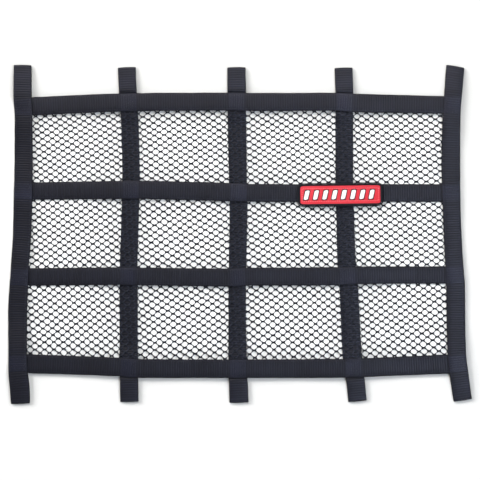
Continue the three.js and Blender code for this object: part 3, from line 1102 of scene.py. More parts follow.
@dataclass
class Straps:
    """The nine straps: uprights folded into loops at both ends, and crossbars."""

    layout: Layout
    webbing: Webbing = field(default_factory=Webbing)
    loop_inside: float = 2.3 * MM
    rise_from: float = 8 * MM
    rise_to: float = 17 * MM
    fold_inside: float = 1.5 * MM
    tuck: float = 11 * MM
    end_inset: float = 11 * MM
    fold_drawn_in: float = 0.6 * MM
    fold_from: float = 0.82
    fold_over: float = 0.18
    # Near the fold a loop counts as pressed: its ribs flatten as with real wear, and it is painted paler as
    # a painted highlight.
    loop_wear_and_sheen: float = 0.35
    wear_and_sheen_from: float = 0.3
    wear_and_sheen_over: float = 0.2
    pressed_half: float = 9.5 * MM
    pressed_edge: float = 2.5 * MM
    fine: float = 0.5 * MM
    rise_steps: int = 24
    sink_steps: int = 12
    sink_shape: float = 1.2
    turn_steps: int = 40

    def _loop(self, upright: Upright, end: End) -> list[tuple[float, float, float, float]]:
        """One loop's side view, from the crossing outward, round the fold and back to the tucked end.

        Args:
            upright: The strap.
            end: Which of its ends.

        Returns:
            Rows of y, height of the middle, share of the way to the fold, and slant.
        """
        layers = self.layout.layers
        crossbar = self.layout.crossbars[0 if end is End.TOP else -1]
        start = self.layout.crossing(upright, crossbar)[1]
        fold = upright.rows[0 if end is End.TOP else -1].along
        reach = (fold - start) * end.value
        radius = (layers.webbing + self.fold_inside) / 2
        turn = reach - radius - layers.webbing / 2
        seat = self.layout.upright_height(upright, start) + layers.webbing / 2
        crest = max(seat, layers.webbing * 1.5 + self.loop_inside)
        fold_top = layers.webbing / 2 + 2 * radius
        side = []
        for step in range(self.rise_steps):
            share = step / self.rise_steps
            side.append((mix(self.rise_from, self.rise_to, share), mix(seat, crest, ease(share))))
        for step in range(self.sink_steps):
            share = step / self.sink_steps
            side.append((mix(self.rise_to, turn, share), mix(crest, fold_top, share**self.sink_shape)))
        for step in range(self.turn_steps + 1):
            angle = math.pi * step / self.turn_steps
            height = layers.webbing / 2 + radius * (1 + math.cos(angle))
            side.append((turn + radius * math.sin(angle), height))
        side.append((-self.tuck, layers.webbing / 2))
        slant = math.tan(math.radians(upright.slant_top if end is End.TOP else upright.slant_bottom))
        return [(start + end.value * out, z, max(0.0, out / reach), slant) for out, z in side]

    def _upright_path(self, upright: Upright) -> list[tuple[Vector, Any]]:
        """An upright's middle line in its side view, from tucked end to tucked end.

        Args:
            upright: The upright.

        Returns:
            Its points, each with how far into a loop it is and the loop's slant.
        """
        bottom = self._loop(upright, End.BOTTOM)[::-1]
        top = self._loop(upright, End.TOP)
        low, high = bottom[-1][0], top[0][0]
        count = round((high - low) / self.fine)
        between = []
        for step in range(1, count):
            y = mix(low, high, step / count)
            height = self.layout.upright_height(upright, y) + self.layout.layers.webbing / 2
            between.append((y, height, 0.0, 0.0))
        path = [*bottom, *between, *top]
        return [(Vector((0, y, z)), (reach, slant)) for y, z, reach, slant in path]

    def upright_stations(self, upright: Upright) -> list[Station]:
        """Cross-sections along an upright, one step apart.

        Args:
            upright: The upright.

        Returns:
            The cross-sections.
        """
        path = resample(self._upright_path(upright), self.webbing.step)
        crossings = [self.layout.crossing(upright, crossbar)[1] for crossbar in self.layout.crossbars]
        stations = []
        for index, (point, (reach, slant)) in enumerate(path):
            before, after = path[max(0, index - 2)][0], path[min(len(path) - 1, index + 2)][0]
            travel = (after - before).normalized()
            across = Vector((1, -upright.lean(point.y) + slant * reach**2, 0)).normalized()
            outward = Vector((0, 1 if point.y > 0 else -1, 0))
            fold = ease((reach - self.fold_from) / self.fold_over)
            # Pressed at the loop's fold: flattened ribs, and a painted highlight on its colour.
            worn = self.loop_wear_and_sheen * ease((reach - self.wear_and_sheen_from) / self.wear_and_sheen_over)
            stations.append(Station(
                Vector((upright.middle(point.y), point.y, point.z)),
                across,
                Vector((0, -travel.z, travel.y)),
                upright.read(point.y, "width"),
                max(self.pressed(point.y, crossings), worn),
                outward * (-self.fold_drawn_in * fold),
            ))
        return stations

    def crossbar_stations(self, crossbar: Crossbar) -> list[Station]:
        """Cross-sections along a crossbar, one step apart.

        Args:
            crossbar: The crossbar.

        Returns:
            The cross-sections.
        """
        left, right = self.layout.uprights[0], self.layout.uprights[-1]
        start = self.layout.crossing(left, crossbar)[0] - self.end_inset
        end = self.layout.crossing(right, crossbar)[0] + self.end_inset
        count = round((end - start) / self.fine)
        path = []
        for step in range(count + 1):
            x = mix(start, end, step / count)
            z = self.layout.crossbar_height(crossbar, x) + self.layout.layers.webbing / 2
            path.append((Vector((x, crossbar.middle(x), z)), (0.0,)))
        stations = []
        crossings = [self.layout.crossing(upright, crossbar)[0] for upright in self.layout.uprights]
        for point, _ in resample(path, self.webbing.step):
            across = Vector((crossbar.lean(point.x), -1, 0)).normalized()
            width = crossbar.read(point.x, "width")
            pressed = self.pressed(point.x, crossings)
            stations.append(Station(point, across, Vector((0, 0, 1)), width, pressed))
        return stations

    def pressed(self, place: float, crossings: Sequence[float]) -> float:
        """How flat a strap is pressed at a place, by the sewing at the nearest crossing."""
        nearest = min(abs(place - crossing) for crossing in crossings)
        return 1 - ease((nearest - self.pressed_half) / self.pressed_edge)

    def build(self, finishes: Finishes) -> list[bpy.types.Object]:
        """Builds and dresses every strap.

        Args:
            finishes: The materials.

        Returns:
            The straps' objects.
        """
        tree = self.webbing.rib_tree()
        pieces = []
        bands = [(upright, self.upright_stations(upright)) for upright in self.layout.uprights]
        bands += [(crossbar, self.crossbar_stations(crossbar)) for crossbar in self.layout.crossbars]
        for strap, stations in bands:
            piece = new_piece(f"{strap.name}_webbing", self.webbing.mesh(strap.name, stations))
            tree.bake(piece, {"Rib Height": self.webbing.rib_height, "Finish": finishes.webbing})
            length = (len(stations) - 1) * self.webbing.step
            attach(piece, ROOT)
            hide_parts(strap.name)
            held = "folded" if isinstance(strap, Upright) else "laid"
            pieces.append(piece)
        return pieces


@dataclass(frozen=True)
class Wave:
    """A slow wave over the panel: its size, how fast it turns each way, and where it starts."""

    size: float
    across: float
    down: float
    start: float

    def at(self, across: float, down: float) -> float:
        """The wave's height at a place."""
        return self.size * math.sin(across * self.across + down * self.down + self.start)


@dataclass
class Netting:
    """The knitted panel: one hole's ring of half strands, repeated on a staggered lattice."""

    layout: Layout
    pitch_across: float = 13.25 * MM
    pitch_down: float = 9.15 * MM
    knot_length: float = 2.2 * MM
    strand_falling: float = 0.48 * MM
    strand_rising: float = 0.31 * MM
    knot_half: float = 1.35 * MM
    knot_waist: float = 1.15 * MM
    strand_rise: float = 0.36 * MM
    knot_rise: float = 0.62 * MM
    row_slope: float = 0.04
    column_lean: float = 0.075
    stretch_down: float = 0.07
    bows: tuple[Wave, ...] = (Wave(1.6 * MM, 11, 0, 0.6), Wave(1.2 * MM, 23, 14, 0))
    squeezes: tuple[Wave, ...] = (Wave(1.8 * MM, 17, 0, 1.1), Wave(1.0 * MM, 9, 25, 0))
    jitter: float = 0.22
    jitter_scale: float = 0.9
    seed: float = 4.0
    margin: float = 5.5 * MM
    edge_room: float = 0.6
    join_within: float = 0.01 * MM
    clearance: float = 0.12 * MM
    ripple: float = 0.12 * MM
    ripples_a_metre: float = 40
    cloth_share: float = 0.42
    carrier_step: float = 4 * MM
    columns: int = 52
    rows: int = 46

    def place(self, u: float, v: float) -> tuple[float, float]:
        """Where a point of the even lattice lies in plan.

        Args:
            u: Columns from the left.
            v: Rows from the top.

        Returns:
            X and Y in metres, with the panel's slope, lean and stretch.
        """
        across = (u - self.columns / 2) * self.pitch_across
        share = v / self.rows - 0.5
        down = (v - self.rows / 2) * self.pitch_down * (1 + self.stretch_down * share)
        bow = sum(wave.at(across, down) for wave in self.bows)
        squeeze = sum(wave.at(across, down) for wave in self.squeezes)
        return across + self.column_lean * down + squeeze, -down + self.row_slope * across + bow

    def _hole_outline(self) -> list[tuple[float, float, float, float, float]]:
        """The ring of strand middles round a hole.

        Returns:
            Points in lattice units, each with its half width, its rise, and its share of a knot.
        """
        knot = self.knot_length / 2 / self.pitch_across
        end = (self.knot_half, self.knot_rise, 1.0)
        waist = (self.knot_waist, (self.knot_rise + self.strand_rise) / 2, 1.0)
        upper = [
            (0.5 - knot, 0.0, *end),
            (0.25, 0.25, self.strand_falling, self.strand_rise, 0.0),
            (knot, 0.5, *end),
            (0.0, 0.5, *waist),
            (-knot, 0.5, *end),
            (-0.25, 0.25, self.strand_rising, self.strand_rise, 0.0),
        ]
        return upper + [(-x, -y, half, rise, share) for x, y, half, rise, share in upper]

    def _tile(self) -> bpy.types.Object:
        """One hole's ring: the strands' tops and undersides out to their middles, and the hole's edge.

        Returns:
            The ring, as a helper object.
        """
        outline = self._hole_outline()
        count = len(outline)
        size = Vector((self.pitch_across, self.pitch_down, 1))
        tops = [Vector((x, y, rise)) for x, y, _, rise, _ in outline]
        undersides = [Vector((x, y, -min(rise, self.strand_rise))) for x, y, _, rise, _ in outline]
        rims = []
        for index, (x, y, half, _, _) in enumerate(outline):
            before, after = outline[index - 1], outline[(index + 1) % count]
            run, fall = (after[0] - before[0]) * size.x, (after[1] - before[1]) * size.y
            along = Vector((run, fall, 0)).normalized()
            rims.append(Vector((x - along.y * half / size.x, y + along.x * half / size.y, 0)))
        faces = []
        for index in range(count):
            after = (index + 1) % count
            faces.append((index, after, 2 * count + after, 2 * count + index))
            faces.append((2 * count + index, 2 * count + after, count + after, count + index))
        mesh = new_mesh("net_hole", (*tops, *undersides, *rims), faces)
        add_numbers(mesh, "level", [1.0] * count + [-1.0] * count + [0.0] * count)
        add_numbers(mesh, "knot", [share for *_, share in outline] * 3)
        return new_piece("net_hole", mesh)

    def _carrier(self) -> bpy.types.Object:
        """The panel's own surface, with the lattice as its UV map.

        Returns:
            The surface, as a helper object.
        """
        span = (self.columns * self.pitch_across, self.rows * self.pitch_down)
        counts = [math.ceil(size / self.carrier_step) for size in span]
        vertices, shares = [], []
        for j in range(counts[1] + 1):
            for i in range(counts[0] + 1):
                u, v = i / counts[0], j / counts[1]
                x, y = self.place(u * self.columns, v * self.rows)
                spot = Vector((x * self.ripples_a_metre, y * self.ripples_a_metre, 2.0))
                z = self.layout.net_height(x, y) + self.strand_rise + self.clearance
                z += self.ripple * noise.noise(spot)
                vertices.append((x, y, z))
                shares.append((u, v))
        faces = []
        width = counts[0] + 1
        for j in range(counts[1]):
            for i in range(counts[0]):
                a = j * width + i
                faces.append((a, a + width, a + width + 1, a + 1))
        mesh = new_mesh("net_surface", vertices, faces)
        add_uv(mesh, "lattice", shares)
        return new_piece("net_surface", mesh)

    def _hole_centres(self) -> bpy.types.Mesh:
        """The lattice's hole centres that lie within the panel, in lattice units.

        Returns:
            A mesh of loose points.
        """
        centres = []
        for row in range(2 * self.rows - 2):
            for column in range(self.columns - 1):
                u = column + 1 + (0.5 if row % 2 else 0.0)
                v = row / 2 + 1
                on_surface = u < self.columns - self.edge_room and v < self.rows - self.edge_room
                if on_surface and self.layout.inside_panel(*self.place(u, v), self.margin):
                    centres.append((u, -v, 0.0))
        return new_mesh("netting", centres)

    def _tree(self) -> GeometryTree:
        """The tree that sets a ring at each hole, joins them and lays them on the panel's surface.

        Returns:
            The tree.
        """
        tree = GeometryTree("knitted netting", {
            "Hole": "Object",
            "Surface": "Object",
            "Columns": "Float",
            "Rows": "Float",
            "Unevenness": "Float",
            "Seed": "Float",
            "Finish": "Material",
        })
        set_out = tree.add("GeometryNodeInstanceOnPoints", {
            "Points": tree.inputs["Geometry"], "Instance": tree.shape("Hole"),
        })
        real = tree.add("GeometryNodeRealizeInstances", {"Geometry": set_out.outputs[0]})
        joined = tree.add("GeometryNodeMergeByDistance", {
            "Geometry": real.outputs[0], "Distance": self.join_within,
        })
        parts = tree.axes(tree.add("GeometryNodeInputPosition").outputs[0])
        flat = tree.add("ShaderNodeCombineXYZ", {"X": parts["X"], "Y": parts["Y"]}).outputs[0]
        uneven = tree.add("ShaderNodeTexNoise", {
            "Vector": flat, "W": tree.inputs["Seed"], "Scale": self.jitter_scale, "Detail": 1.0,
        }, noise_dimensions="4D")
        centred = tree.vector("SUBTRACT", uneven.outputs["Color"], (0.5, 0.5, 0.5))
        lattice = tree.axes(tree.vector("ADD", flat, tree.scaled(centred, tree.inputs["Unevenness"])))
        uv = tree.add("ShaderNodeCombineXYZ", {
            "X": tree.math("DIVIDE", lattice["X"], tree.inputs["Columns"]),
            "Y": tree.math("DIVIDE", tree.math("MULTIPLY", lattice["Y"], -1.0), tree.inputs["Rows"]),
        }).outputs[0]
        surface = tree.shape("Surface")
        found = []
        for kind in ("GeometryNodeInputPosition", "GeometryNodeInputNormal"):
            sample = tree.add("GeometryNodeSampleUVSurface", {
                0: surface,
                "Value": tree.add(kind).outputs[0],
                "UV Map": tree.attribute("lattice", "FLOAT_VECTOR"),
                "Sample UV": uv,
            }, data_type="FLOAT_VECTOR")
            found.append(sample.outputs["Value"])
        rise = tree.scaled(found[1], parts["Z"])
        laid = tree.add("GeometryNodeSetPosition", {
            "Geometry": joined.outputs[0], "Position": tree.vector("ADD", found[0], rise),
        })
        tree.finish(laid.outputs[0], tree.inputs["Finish"])
        return tree

    def build(self, finishes: Finishes) -> bpy.types.Object:
        """Args:
            finishes: The materials.

        Returns:
            The netting's object.
        """
        hole, surface = self._tile(), self._carrier()
        piece = new_piece("netting_knit", self._hole_centres())
        self._tree().bake(piece, {
            "Hole": hole,
            "Surface": surface,
            "Columns": float(self.columns),
            "Rows": float(self.rows),
            "Unevenness": self.jitter,
            "Seed": self.seed,
            "Finish": finishes.netting,
        })
        discard(hole, surface)
        close_edges(piece.data)
        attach(piece, ROOT)
        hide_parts("netting")
        return piece


def close_edges(mesh: bpy.types.Mesh) -> None:
    """Walls up the open edge of the netting, from its top to its underside, and turns its faces outward.

    Args:
        mesh: A mesh whose points carry a "level" above 0 on top and below 0 underneath.
    """
    work = bmesh.new()
    work.from_mesh(mesh)
    level = work.verts.layers.float["level"]
    rim = [edge for edge in work.edges if edge.is_boundary]
    below = list({vert for edge in rim for vert in edge.verts if vert[level] < 0})
    tree = KDTree(len(below))
    for index, vert in enumerate(below):
        tree.insert(vert.co, index)
    tree.balance()
    for edge in rim:
        if edge.verts[0][level] > 0:
            first, second = edge.verts
            work.faces.new((first, second, below[tree.find(second.co)[1]], below[tree.find(first.co)[1]]))
    bmesh.ops.recalc_face_normals(work, faces=work.faces)
    work.to_mesh(mesh)
    work.free()


class Pads:
    """Closed pads of cloth in one mesh, each given as a grid of points on top and one underneath."""

    def __init__(self) -> None:
        """Starts with no pads."""
        self.vertices: list[Vector] = []
        self.places: list[tuple[float, float]] = []
        self.faces: list[tuple[int, ...]] = []
        self.kinds: list[int] = []

    def add(
        self,
        top: Sequence[Sequence[Vector]],
        under: Sequence[Sequence[Vector]],
        places: Sequence[Sequence[tuple[float, float]]],
        kind: Callable[[int, int], int] = lambda row, column: 0,
        kind_under: int = 0,
    ) -> None:
        """Adds a pad and walls up its rim.

        Args:
            top: Rows of points, from the lower to the upper edge, each from left to right.
            under: The points below them.
            places: Each point's place on the cloth.
            kind: The material's number at a row and column of faces on top.
            kind_under: The material's number underneath.
        """
        rows, columns = len(top), len(top[0])
        base = len(self.vertices)
        for grid in (top, under):
            for row, spots in zip(grid, places):
                self.vertices.extend(row)
                self.places.extend(spots)

        def at(layer: int, row: int, column: int) -> int:
            """A point's number, on top (0) or underneath (1)."""
            return base + (layer * rows + row) * columns + column

        for row in range(rows - 1):
            for column in range(columns - 1):
                corners = ((row, column), (row, column + 1), (row + 1, column + 1), (row + 1, column))
                self._face([at(0, *corner) for corner in corners], kind(row, column))
                self._face([at(1, *corner) for corner in reversed(corners)], kind_under)
        rim = [(0, column) for column in range(columns)]
        rim += [(row, columns - 1) for row in range(1, rows)]
        rim += [(rows - 1, column) for column in range(columns - 2, -1, -1)]
        rim += [(row, 0) for row in range(rows - 2, 0, -1)]
        for index, spot in enumerate(rim):
            after = rim[(index + 1) % len(rim)]
            row, column = min(spot[0], rows - 2), min(spot[1], columns - 2)
            self._face([at(1, *spot), at(1, *after), at(0, *after), at(0, *spot)], kind(row, column))

    def _face(self, corners: Sequence[int], kind: int) -> None:
        """Adds one face with its material's number."""
        self.faces.append(tuple(corners))
        self.kinds.append(kind)

    def piece(self, name: str, *materials: bpy.types.Material) -> bpy.types.Object:
        """The pads as one object, with their places on the cloth as a UV map.

        Args:
            name: The object's name.
            materials: Its materials, in the order of the pads' kinds.

        Returns:
            The object.
        """
        mesh = new_mesh(name, self.vertices, self.faces)
        add_uv(mesh, "cloth", self.places)
        for material in materials:
            mesh.materials.append(material)
        mesh.polygons.foreach_set("material_index", self.kinds)
        mesh.polygons.foreach_set("use_smooth", [True] * len(self.faces))
        return new_piece(name, mesh)


@dataclass
class Label:
    """The red label: a woven field in a dark rim, and slanted bars with dark outlines."""

    layout: Layout
    length: float = 113 * MM
    height: float = 28.5 * MM
    middle: tuple[float, float] = (136 * MM, 54 * MM)
    tilt: float = math.radians(0.8)
    corner: float = 6.4 * MM
    corner_steps: int = 8
    least_corner: float = 0.8 * MM
    rim_ends: float = 2.3 * MM
    rim_sides: float = 2.1 * MM
    rim_faces: int = 3
    edge_step: float = 0.3 * MM
    edge_height: float = 0.45
    rounding: float = 1.1 * MM
    field_columns: int = 52
    field_rows: int = 14
    sole: float = 0.04 * MM
    droop: float = 0.35 * MM
    seam_step: float = 1.0 * MM
    bar_count: int = 8
    bar_width: float = 6.2 * MM
    bar_height: float = 12.8 * MM
    bar_slant: float = 3.0 * MM
    bar_spacing: float = 12.6 * MM
    bar_outline: float = 0.95 * MM
    bars_shift: float = -1.6 * MM
    bar_columns: tuple[float, ...] = (-1, -0.8, -0.3, 0.3, 0.8, 1)
    bar_steps: int = 10
    bar_squareness: int = 7
    bar_taper: float = 0.2
    bar_end_height: float = 0.2
    bar_crown: float = 0.42 * MM
    outline_crown: float = 0.16 * MM
    bar_sunk: float = 0.2 * MM

    def on_label(self, u: float, v: float, rise: float) -> Vector:
        """A point over the crossbar, from the label's own coordinates.

        Args:
            u: Distance along the label from its middle.
            v: Distance up the label from its middle.
            rise: Height over the label's underside.

        Returns:
            The point in the frame.
        """
        along, up = turned(u, v, self.tilt)
        x, y = self.middle[0] + along, self.middle[1] + up
        droop = self.droop * (abs(v) / (self.height / 2)) ** 3
        strap_top = self.layout.crossbar_height(self.layout.crossbars[1], x) + self.layout.layers.strap
        return Vector((x, y, strap_top + rise - droop))

    def outline(self, inset_ends: float, inset_sides: float, spacing: float) -> list[tuple[float, float]]:
        """Evenly spaced points on a rounded rectangle round the label's middle, counterclockwise.

        Args:
            inset_ends: Distance inside the label's ends.
            inset_sides: Distance inside its long sides.
            spacing: Distance between two points.

        Returns:
            The points in the label's own coordinates.
        """
        half = (self.length / 2 - inset_ends, self.height / 2 - inset_sides)
        radius = max(self.least_corner, self.corner - max(inset_ends, inset_sides))
        corners = []
        for turn, (side, up) in enumerate(((1, 1), (-1, 1), (-1, -1), (1, -1))):
            for step in range(self.corner_steps + 1):
                angle = math.pi / 2 * (turn + step / self.corner_steps)
                corners.append(Vector((
                    side * (half[0] - radius) + radius * math.cos(angle),
                    up * (half[1] - radius) + radius * math.sin(angle),
                    0,
                )))
        path = [(point, ()) for point in (*corners, corners[0])]
        return [(point.x, point.y) for point, _ in resample(path, spacing)][:-1]

    def _steps(self, half: float, rim: float, count: int) -> list[float]:
        """Distances from the middle, close together at the rim, from one edge to the other.

        Args:
            half: Half the label's size this way.
            rim: The dark rim's width.
            count: How many steps the field has.

        Returns:
            The distances.
        """
        edge = [half, half - self.edge_step, half - self.rounding, half - rim]
        inner = [(half - rim) * (1 - 2 * step / count) for step in range(1, count)]
        return [*(-value for value in edge), *reversed(inner), *reversed(edge)]

    def _field(self, finishes: Finishes) -> bpy.types.Object:
        """The woven field: a plate with a rounded edge, dark along its rim.

        Args:
            finishes: The net's finishes.

        Returns:
            The field.
        """
        half_length, half_height = self.length / 2, self.height / 2
        columns = self._steps(half_length, self.rim_ends, self.field_columns)
        rows = self._steps(half_height, self.rim_sides, self.field_rows)
        thickness = self.layout.layers.label
        top, under, places = [], [], []
        for v in rows:
            spots = []
            for u in columns:
                into = max(0.0, abs(u) - (half_length - self.corner))
                cut_off = self.corner - math.sqrt(max(0.0, self.corner**2 - into**2))
                spots.append((u, v * (1 - cut_off / half_height)))
            places.append(spots)
            top.append([self.on_label(*spot, self._rise(*spot) * thickness) for spot in spots])
            under.append([self.on_label(*spot, self.sole) for spot in spots])
        red_columns = range(self.rim_faces, len(columns) - 1 - self.rim_faces)
        red_rows = range(self.rim_faces, len(rows) - 1 - self.rim_faces)

        def kind(row: int, column: int) -> int:
            """0 in the red field, 1 on the rim."""
            return 0 if row in red_rows and column in red_columns else 1

        pads = Pads()
        pads.add(top, under, places, kind, 1)
        return pads.piece("label_field", finishes.label, finishes.label_edge)

    def _rise(self, u: float, v: float) -> float:
        """The plate's share of its full height at a place, lower at its rounded edge.

        Args:
            u: The place along the label.
            v: The place across it.

        Returns:
            The share.
        """
        inside = min(self.length / 2 - abs(u), self.height / 2 - abs(v))
        share = min(1.0, max(0.0, inside / self.rounding))
        return self.edge_height + (1 - self.edge_height) * math.sqrt(1 - (1 - share) ** 2)

    def _bars(self, name: str, grow: float, crown: float, finish: bpy.types.Material) -> bpy.types.Object:
        """A row of plain slanted bars, each a low pad of satin stitch.

        Args:
            name: The piece's name.
            grow: How far each bar reaches beyond its own outline.
            crown: Height of a bar's middle over the field.
            finish: The material.

        Returns:
            The bars as one object.
        """
        pads = Pads()
        face = self.layout.layers.label
        first = self.bars_shift - (self.bar_count - 1) / 2 * self.bar_spacing
        half_height = self.bar_height / 2 + grow
        for number in range(self.bar_count):
            middle = first + number * self.bar_spacing
            top, under, places = [], [], []
            for step in range(self.bar_steps + 1):
                share = 2 * step / self.bar_steps - 1
                full = math.sqrt(max(0.0, 1 - abs(share) ** self.bar_squareness))
                half = (self.bar_width / 2 + grow) * (1 - self.bar_taper + self.bar_taper * full)
                crest = crown * (self.bar_end_height + (1 - self.bar_end_height) * full)
                lean = share * self.bar_slant / 2
                spots = [(middle + lean + across * half, share * half_height) for across in self.bar_columns]
                places.append(spots)
                top.append([
                    self.on_label(*spot, face + crest * (1 - abs(across) ** 3))
                    for spot, across in zip(spots, self.bar_columns)
                ])
                under.append([self.on_label(*spot, face - self.bar_sunk) for spot in spots])
            pads.add(top, under, places)
        return pads.piece(name, finish)

    def seam(self, inset_ends: float, inset_sides: float, rise: float) -> "Seam":
        """A closed line round the label, as a seam on its face."""
        line = self.outline(inset_ends, inset_sides, self.seam_step)
        return Seam(tuple(self.on_label(u, v, rise) for u, v in [*line, line[0]]), Vector((0, 0, 1)))

    def build(self, finishes: Finishes) -> list[bpy.types.Object]:
        """Args:
            finishes: The materials.

        Returns:
            The label's objects.
        """
        plate = self._field(finishes)
        edge = finishes.label_edge
        outlines = self._bars("label_bar_outlines", self.bar_outline, self.outline_crown, edge)
        bars = self._bars("label_bars", 0.0, self.bar_crown, finishes.label_bars)
        pieces = [plate, outlines, bars]
        for piece in pieces:
            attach(piece, ROOT)
        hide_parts("label")
        return pieces


@dataclass(frozen=True)
class Seam:
    """One line of stitches: its points, and the way that its cloth faces."""

    points: tuple[Vector, ...]
    facing: Vector


@dataclass(frozen=True)
class Stitch:
    """One stitch: its thread's path round its middle, the axis square to it, and the stitches' pitch."""

    path: tuple[tuple[float, float, float], ...]
    square_to: tuple[float, float, float]
    thread: float
    pitch: float
    sides: int = 5
    end_girth: float = 0.7

    @classmethod
    def running(cls, length: float, gap: float, thread: float) -> "Stitch":
        """A stitch along its seam, whose ends dive into the cloth.

        Args:
            length: The stitch's length.
            gap: The gap that follows it.
            thread: Half the thread's thickness.

        Returns:
            The stitch.
        """
        crest, dive = 1.1 * thread, 1.9 * thread
        shares = (-1, -0.5, 0, 0.5, 1)
        path = tuple((share * length / 2, 0.0, crest - dive * share**4) for share in shares)
        return cls(path, (0, 1, 0), thread, length + gap)

    @classmethod
    def overlock(cls, inward: float, outward: float, depth: float, thread: float, pitch: float) -> "Stitch":
        """A stitch that wraps an edge, square to its seam.

        Args:
            inward: How far it reaches over the cloth.
            outward: How far it reaches to the edge.
            depth: How far it goes down round the edge.
            thread: Half the thread's thickness.
            pitch: Distance between two stitches.

        Returns:
            The stitch.
        """
        path = (
            (0.3 * pitch, inward, -1.6 * thread),
            (0.2 * pitch, inward * 0.85, 0.0),
            (0.1 * pitch, inward * 0.4, 1.0 * thread),
            (0.0, -outward * 0.2, 1.1 * thread),
            (-0.1 * pitch, -outward * 0.75, 0.2 * thread),
            (-0.2 * pitch, -outward, -0.45 * depth),
            (-0.2 * pitch, -outward * 0.8, -depth),
        )
        return cls(path, (1, 0, 0), thread, pitch)

    def piece(self) -> bpy.types.Object:
        """The thread as a closed tube along its path.

        Returns:
            The tube, as a helper object.
        """
        points = [Vector(point) for point in self.path]
        square = Vector(self.square_to)
        vertices = []
        for index, point in enumerate(points):
            before, after = points[max(0, index - 1)], points[min(len(points) - 1, index + 1)]
            up = (after - before).cross(square).normalized()
            girth = self.thread * (self.end_girth if index in (0, len(points) - 1) else 1.0)
            for side in range(self.sides):
                angle = 2 * math.pi * side / self.sides
                vertices.append(point + (square * math.cos(angle) + up * math.sin(angle)) * girth)
        faces = tube_faces(len(points), self.sides, flipped=True)
        return new_piece("stitch", new_mesh("stitch", vertices, faces))


class Sewing:
    """Sets stitches along seams."""

    def __init__(self) -> None:
        """Builds the tree that sets a stitch at even steps along each seam."""
        named = {"Stitch": "Object", "Pitch": "Float", "Finish": "Material"}
        tree = GeometryTree("rows of stitches", named)
        line = tree.add("GeometryNodeMeshToCurve", {"Mesh": tree.inputs["Geometry"]}).outputs[0]
        even = tree.add("GeometryNodeResampleCurve", {
            "Curve": line, "Length": tree.inputs["Pitch"],
        }, mode="LENGTH")
        tangent = tree.add("GeometryNodeInputTangent").outputs[0]
        along = tree.add("FunctionNodeAlignRotationToVector", {"Vector": tangent}, axis="X")
        upright = tree.add("FunctionNodeAlignRotationToVector", {
            "Rotation": along.outputs[0], "Vector": tree.attribute("facing", "FLOAT_VECTOR"),
        }, axis="Z", pivot_axis="X")
        sewn = tree.add("GeometryNodeInstanceOnPoints", {
            "Points": even.outputs[0], "Instance": tree.shape("Stitch"), "Rotation": upright.outputs[0],
        })
        tree.finish(sewn.outputs[0], tree.inputs["Finish"])
        self.tree = tree

    @staticmethod
    def _lines(name: str, seams: Iterable[Seam]) -> bpy.types.Mesh:
        """The seams as loose edges, each point with the way that its cloth faces.

        Args:
            name: The mesh's name.
            seams: The seams.

        Returns:
            The mesh.
        """
        points, edges, facing = [], [], []
        for seam in seams:
            base = len(points)
            points.extend(seam.points)
            facing.extend(seam.facing for _ in seam.points)
            edges.extend((base + index, base + index + 1) for index in range(len(seam.points) - 1))
        mesh = new_mesh(name, points, edges=edges)
        store = mesh.attributes.new("facing", "FLOAT_VECTOR", "POINT")
        store.data.foreach_set("vector", [value for vector in facing for value in vector])
        return mesh

    def sew(
        self, name: str, seams: Sequence[Seam], stitch: Stitch, finish: bpy.types.Material, slot: str,
    ) -> bpy.types.Object:
        """Sews a set of seams as one piece.

        Args:
            name: The piece's name.
            seams: The seams.
            stitch: The stitch to set along them.
            finish: The thread's material.
            slot: The record's material slot; not used.

        Returns:
            The piece.
        """
        thread = stitch.piece()
        piece = new_piece(name, self._lines(name, seams))
        self.tree.bake(piece, {"Stitch": thread, "Pitch": stitch.pitch, "Finish": finish})
        discard(thread)
        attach(piece, ROOT)
        return piece


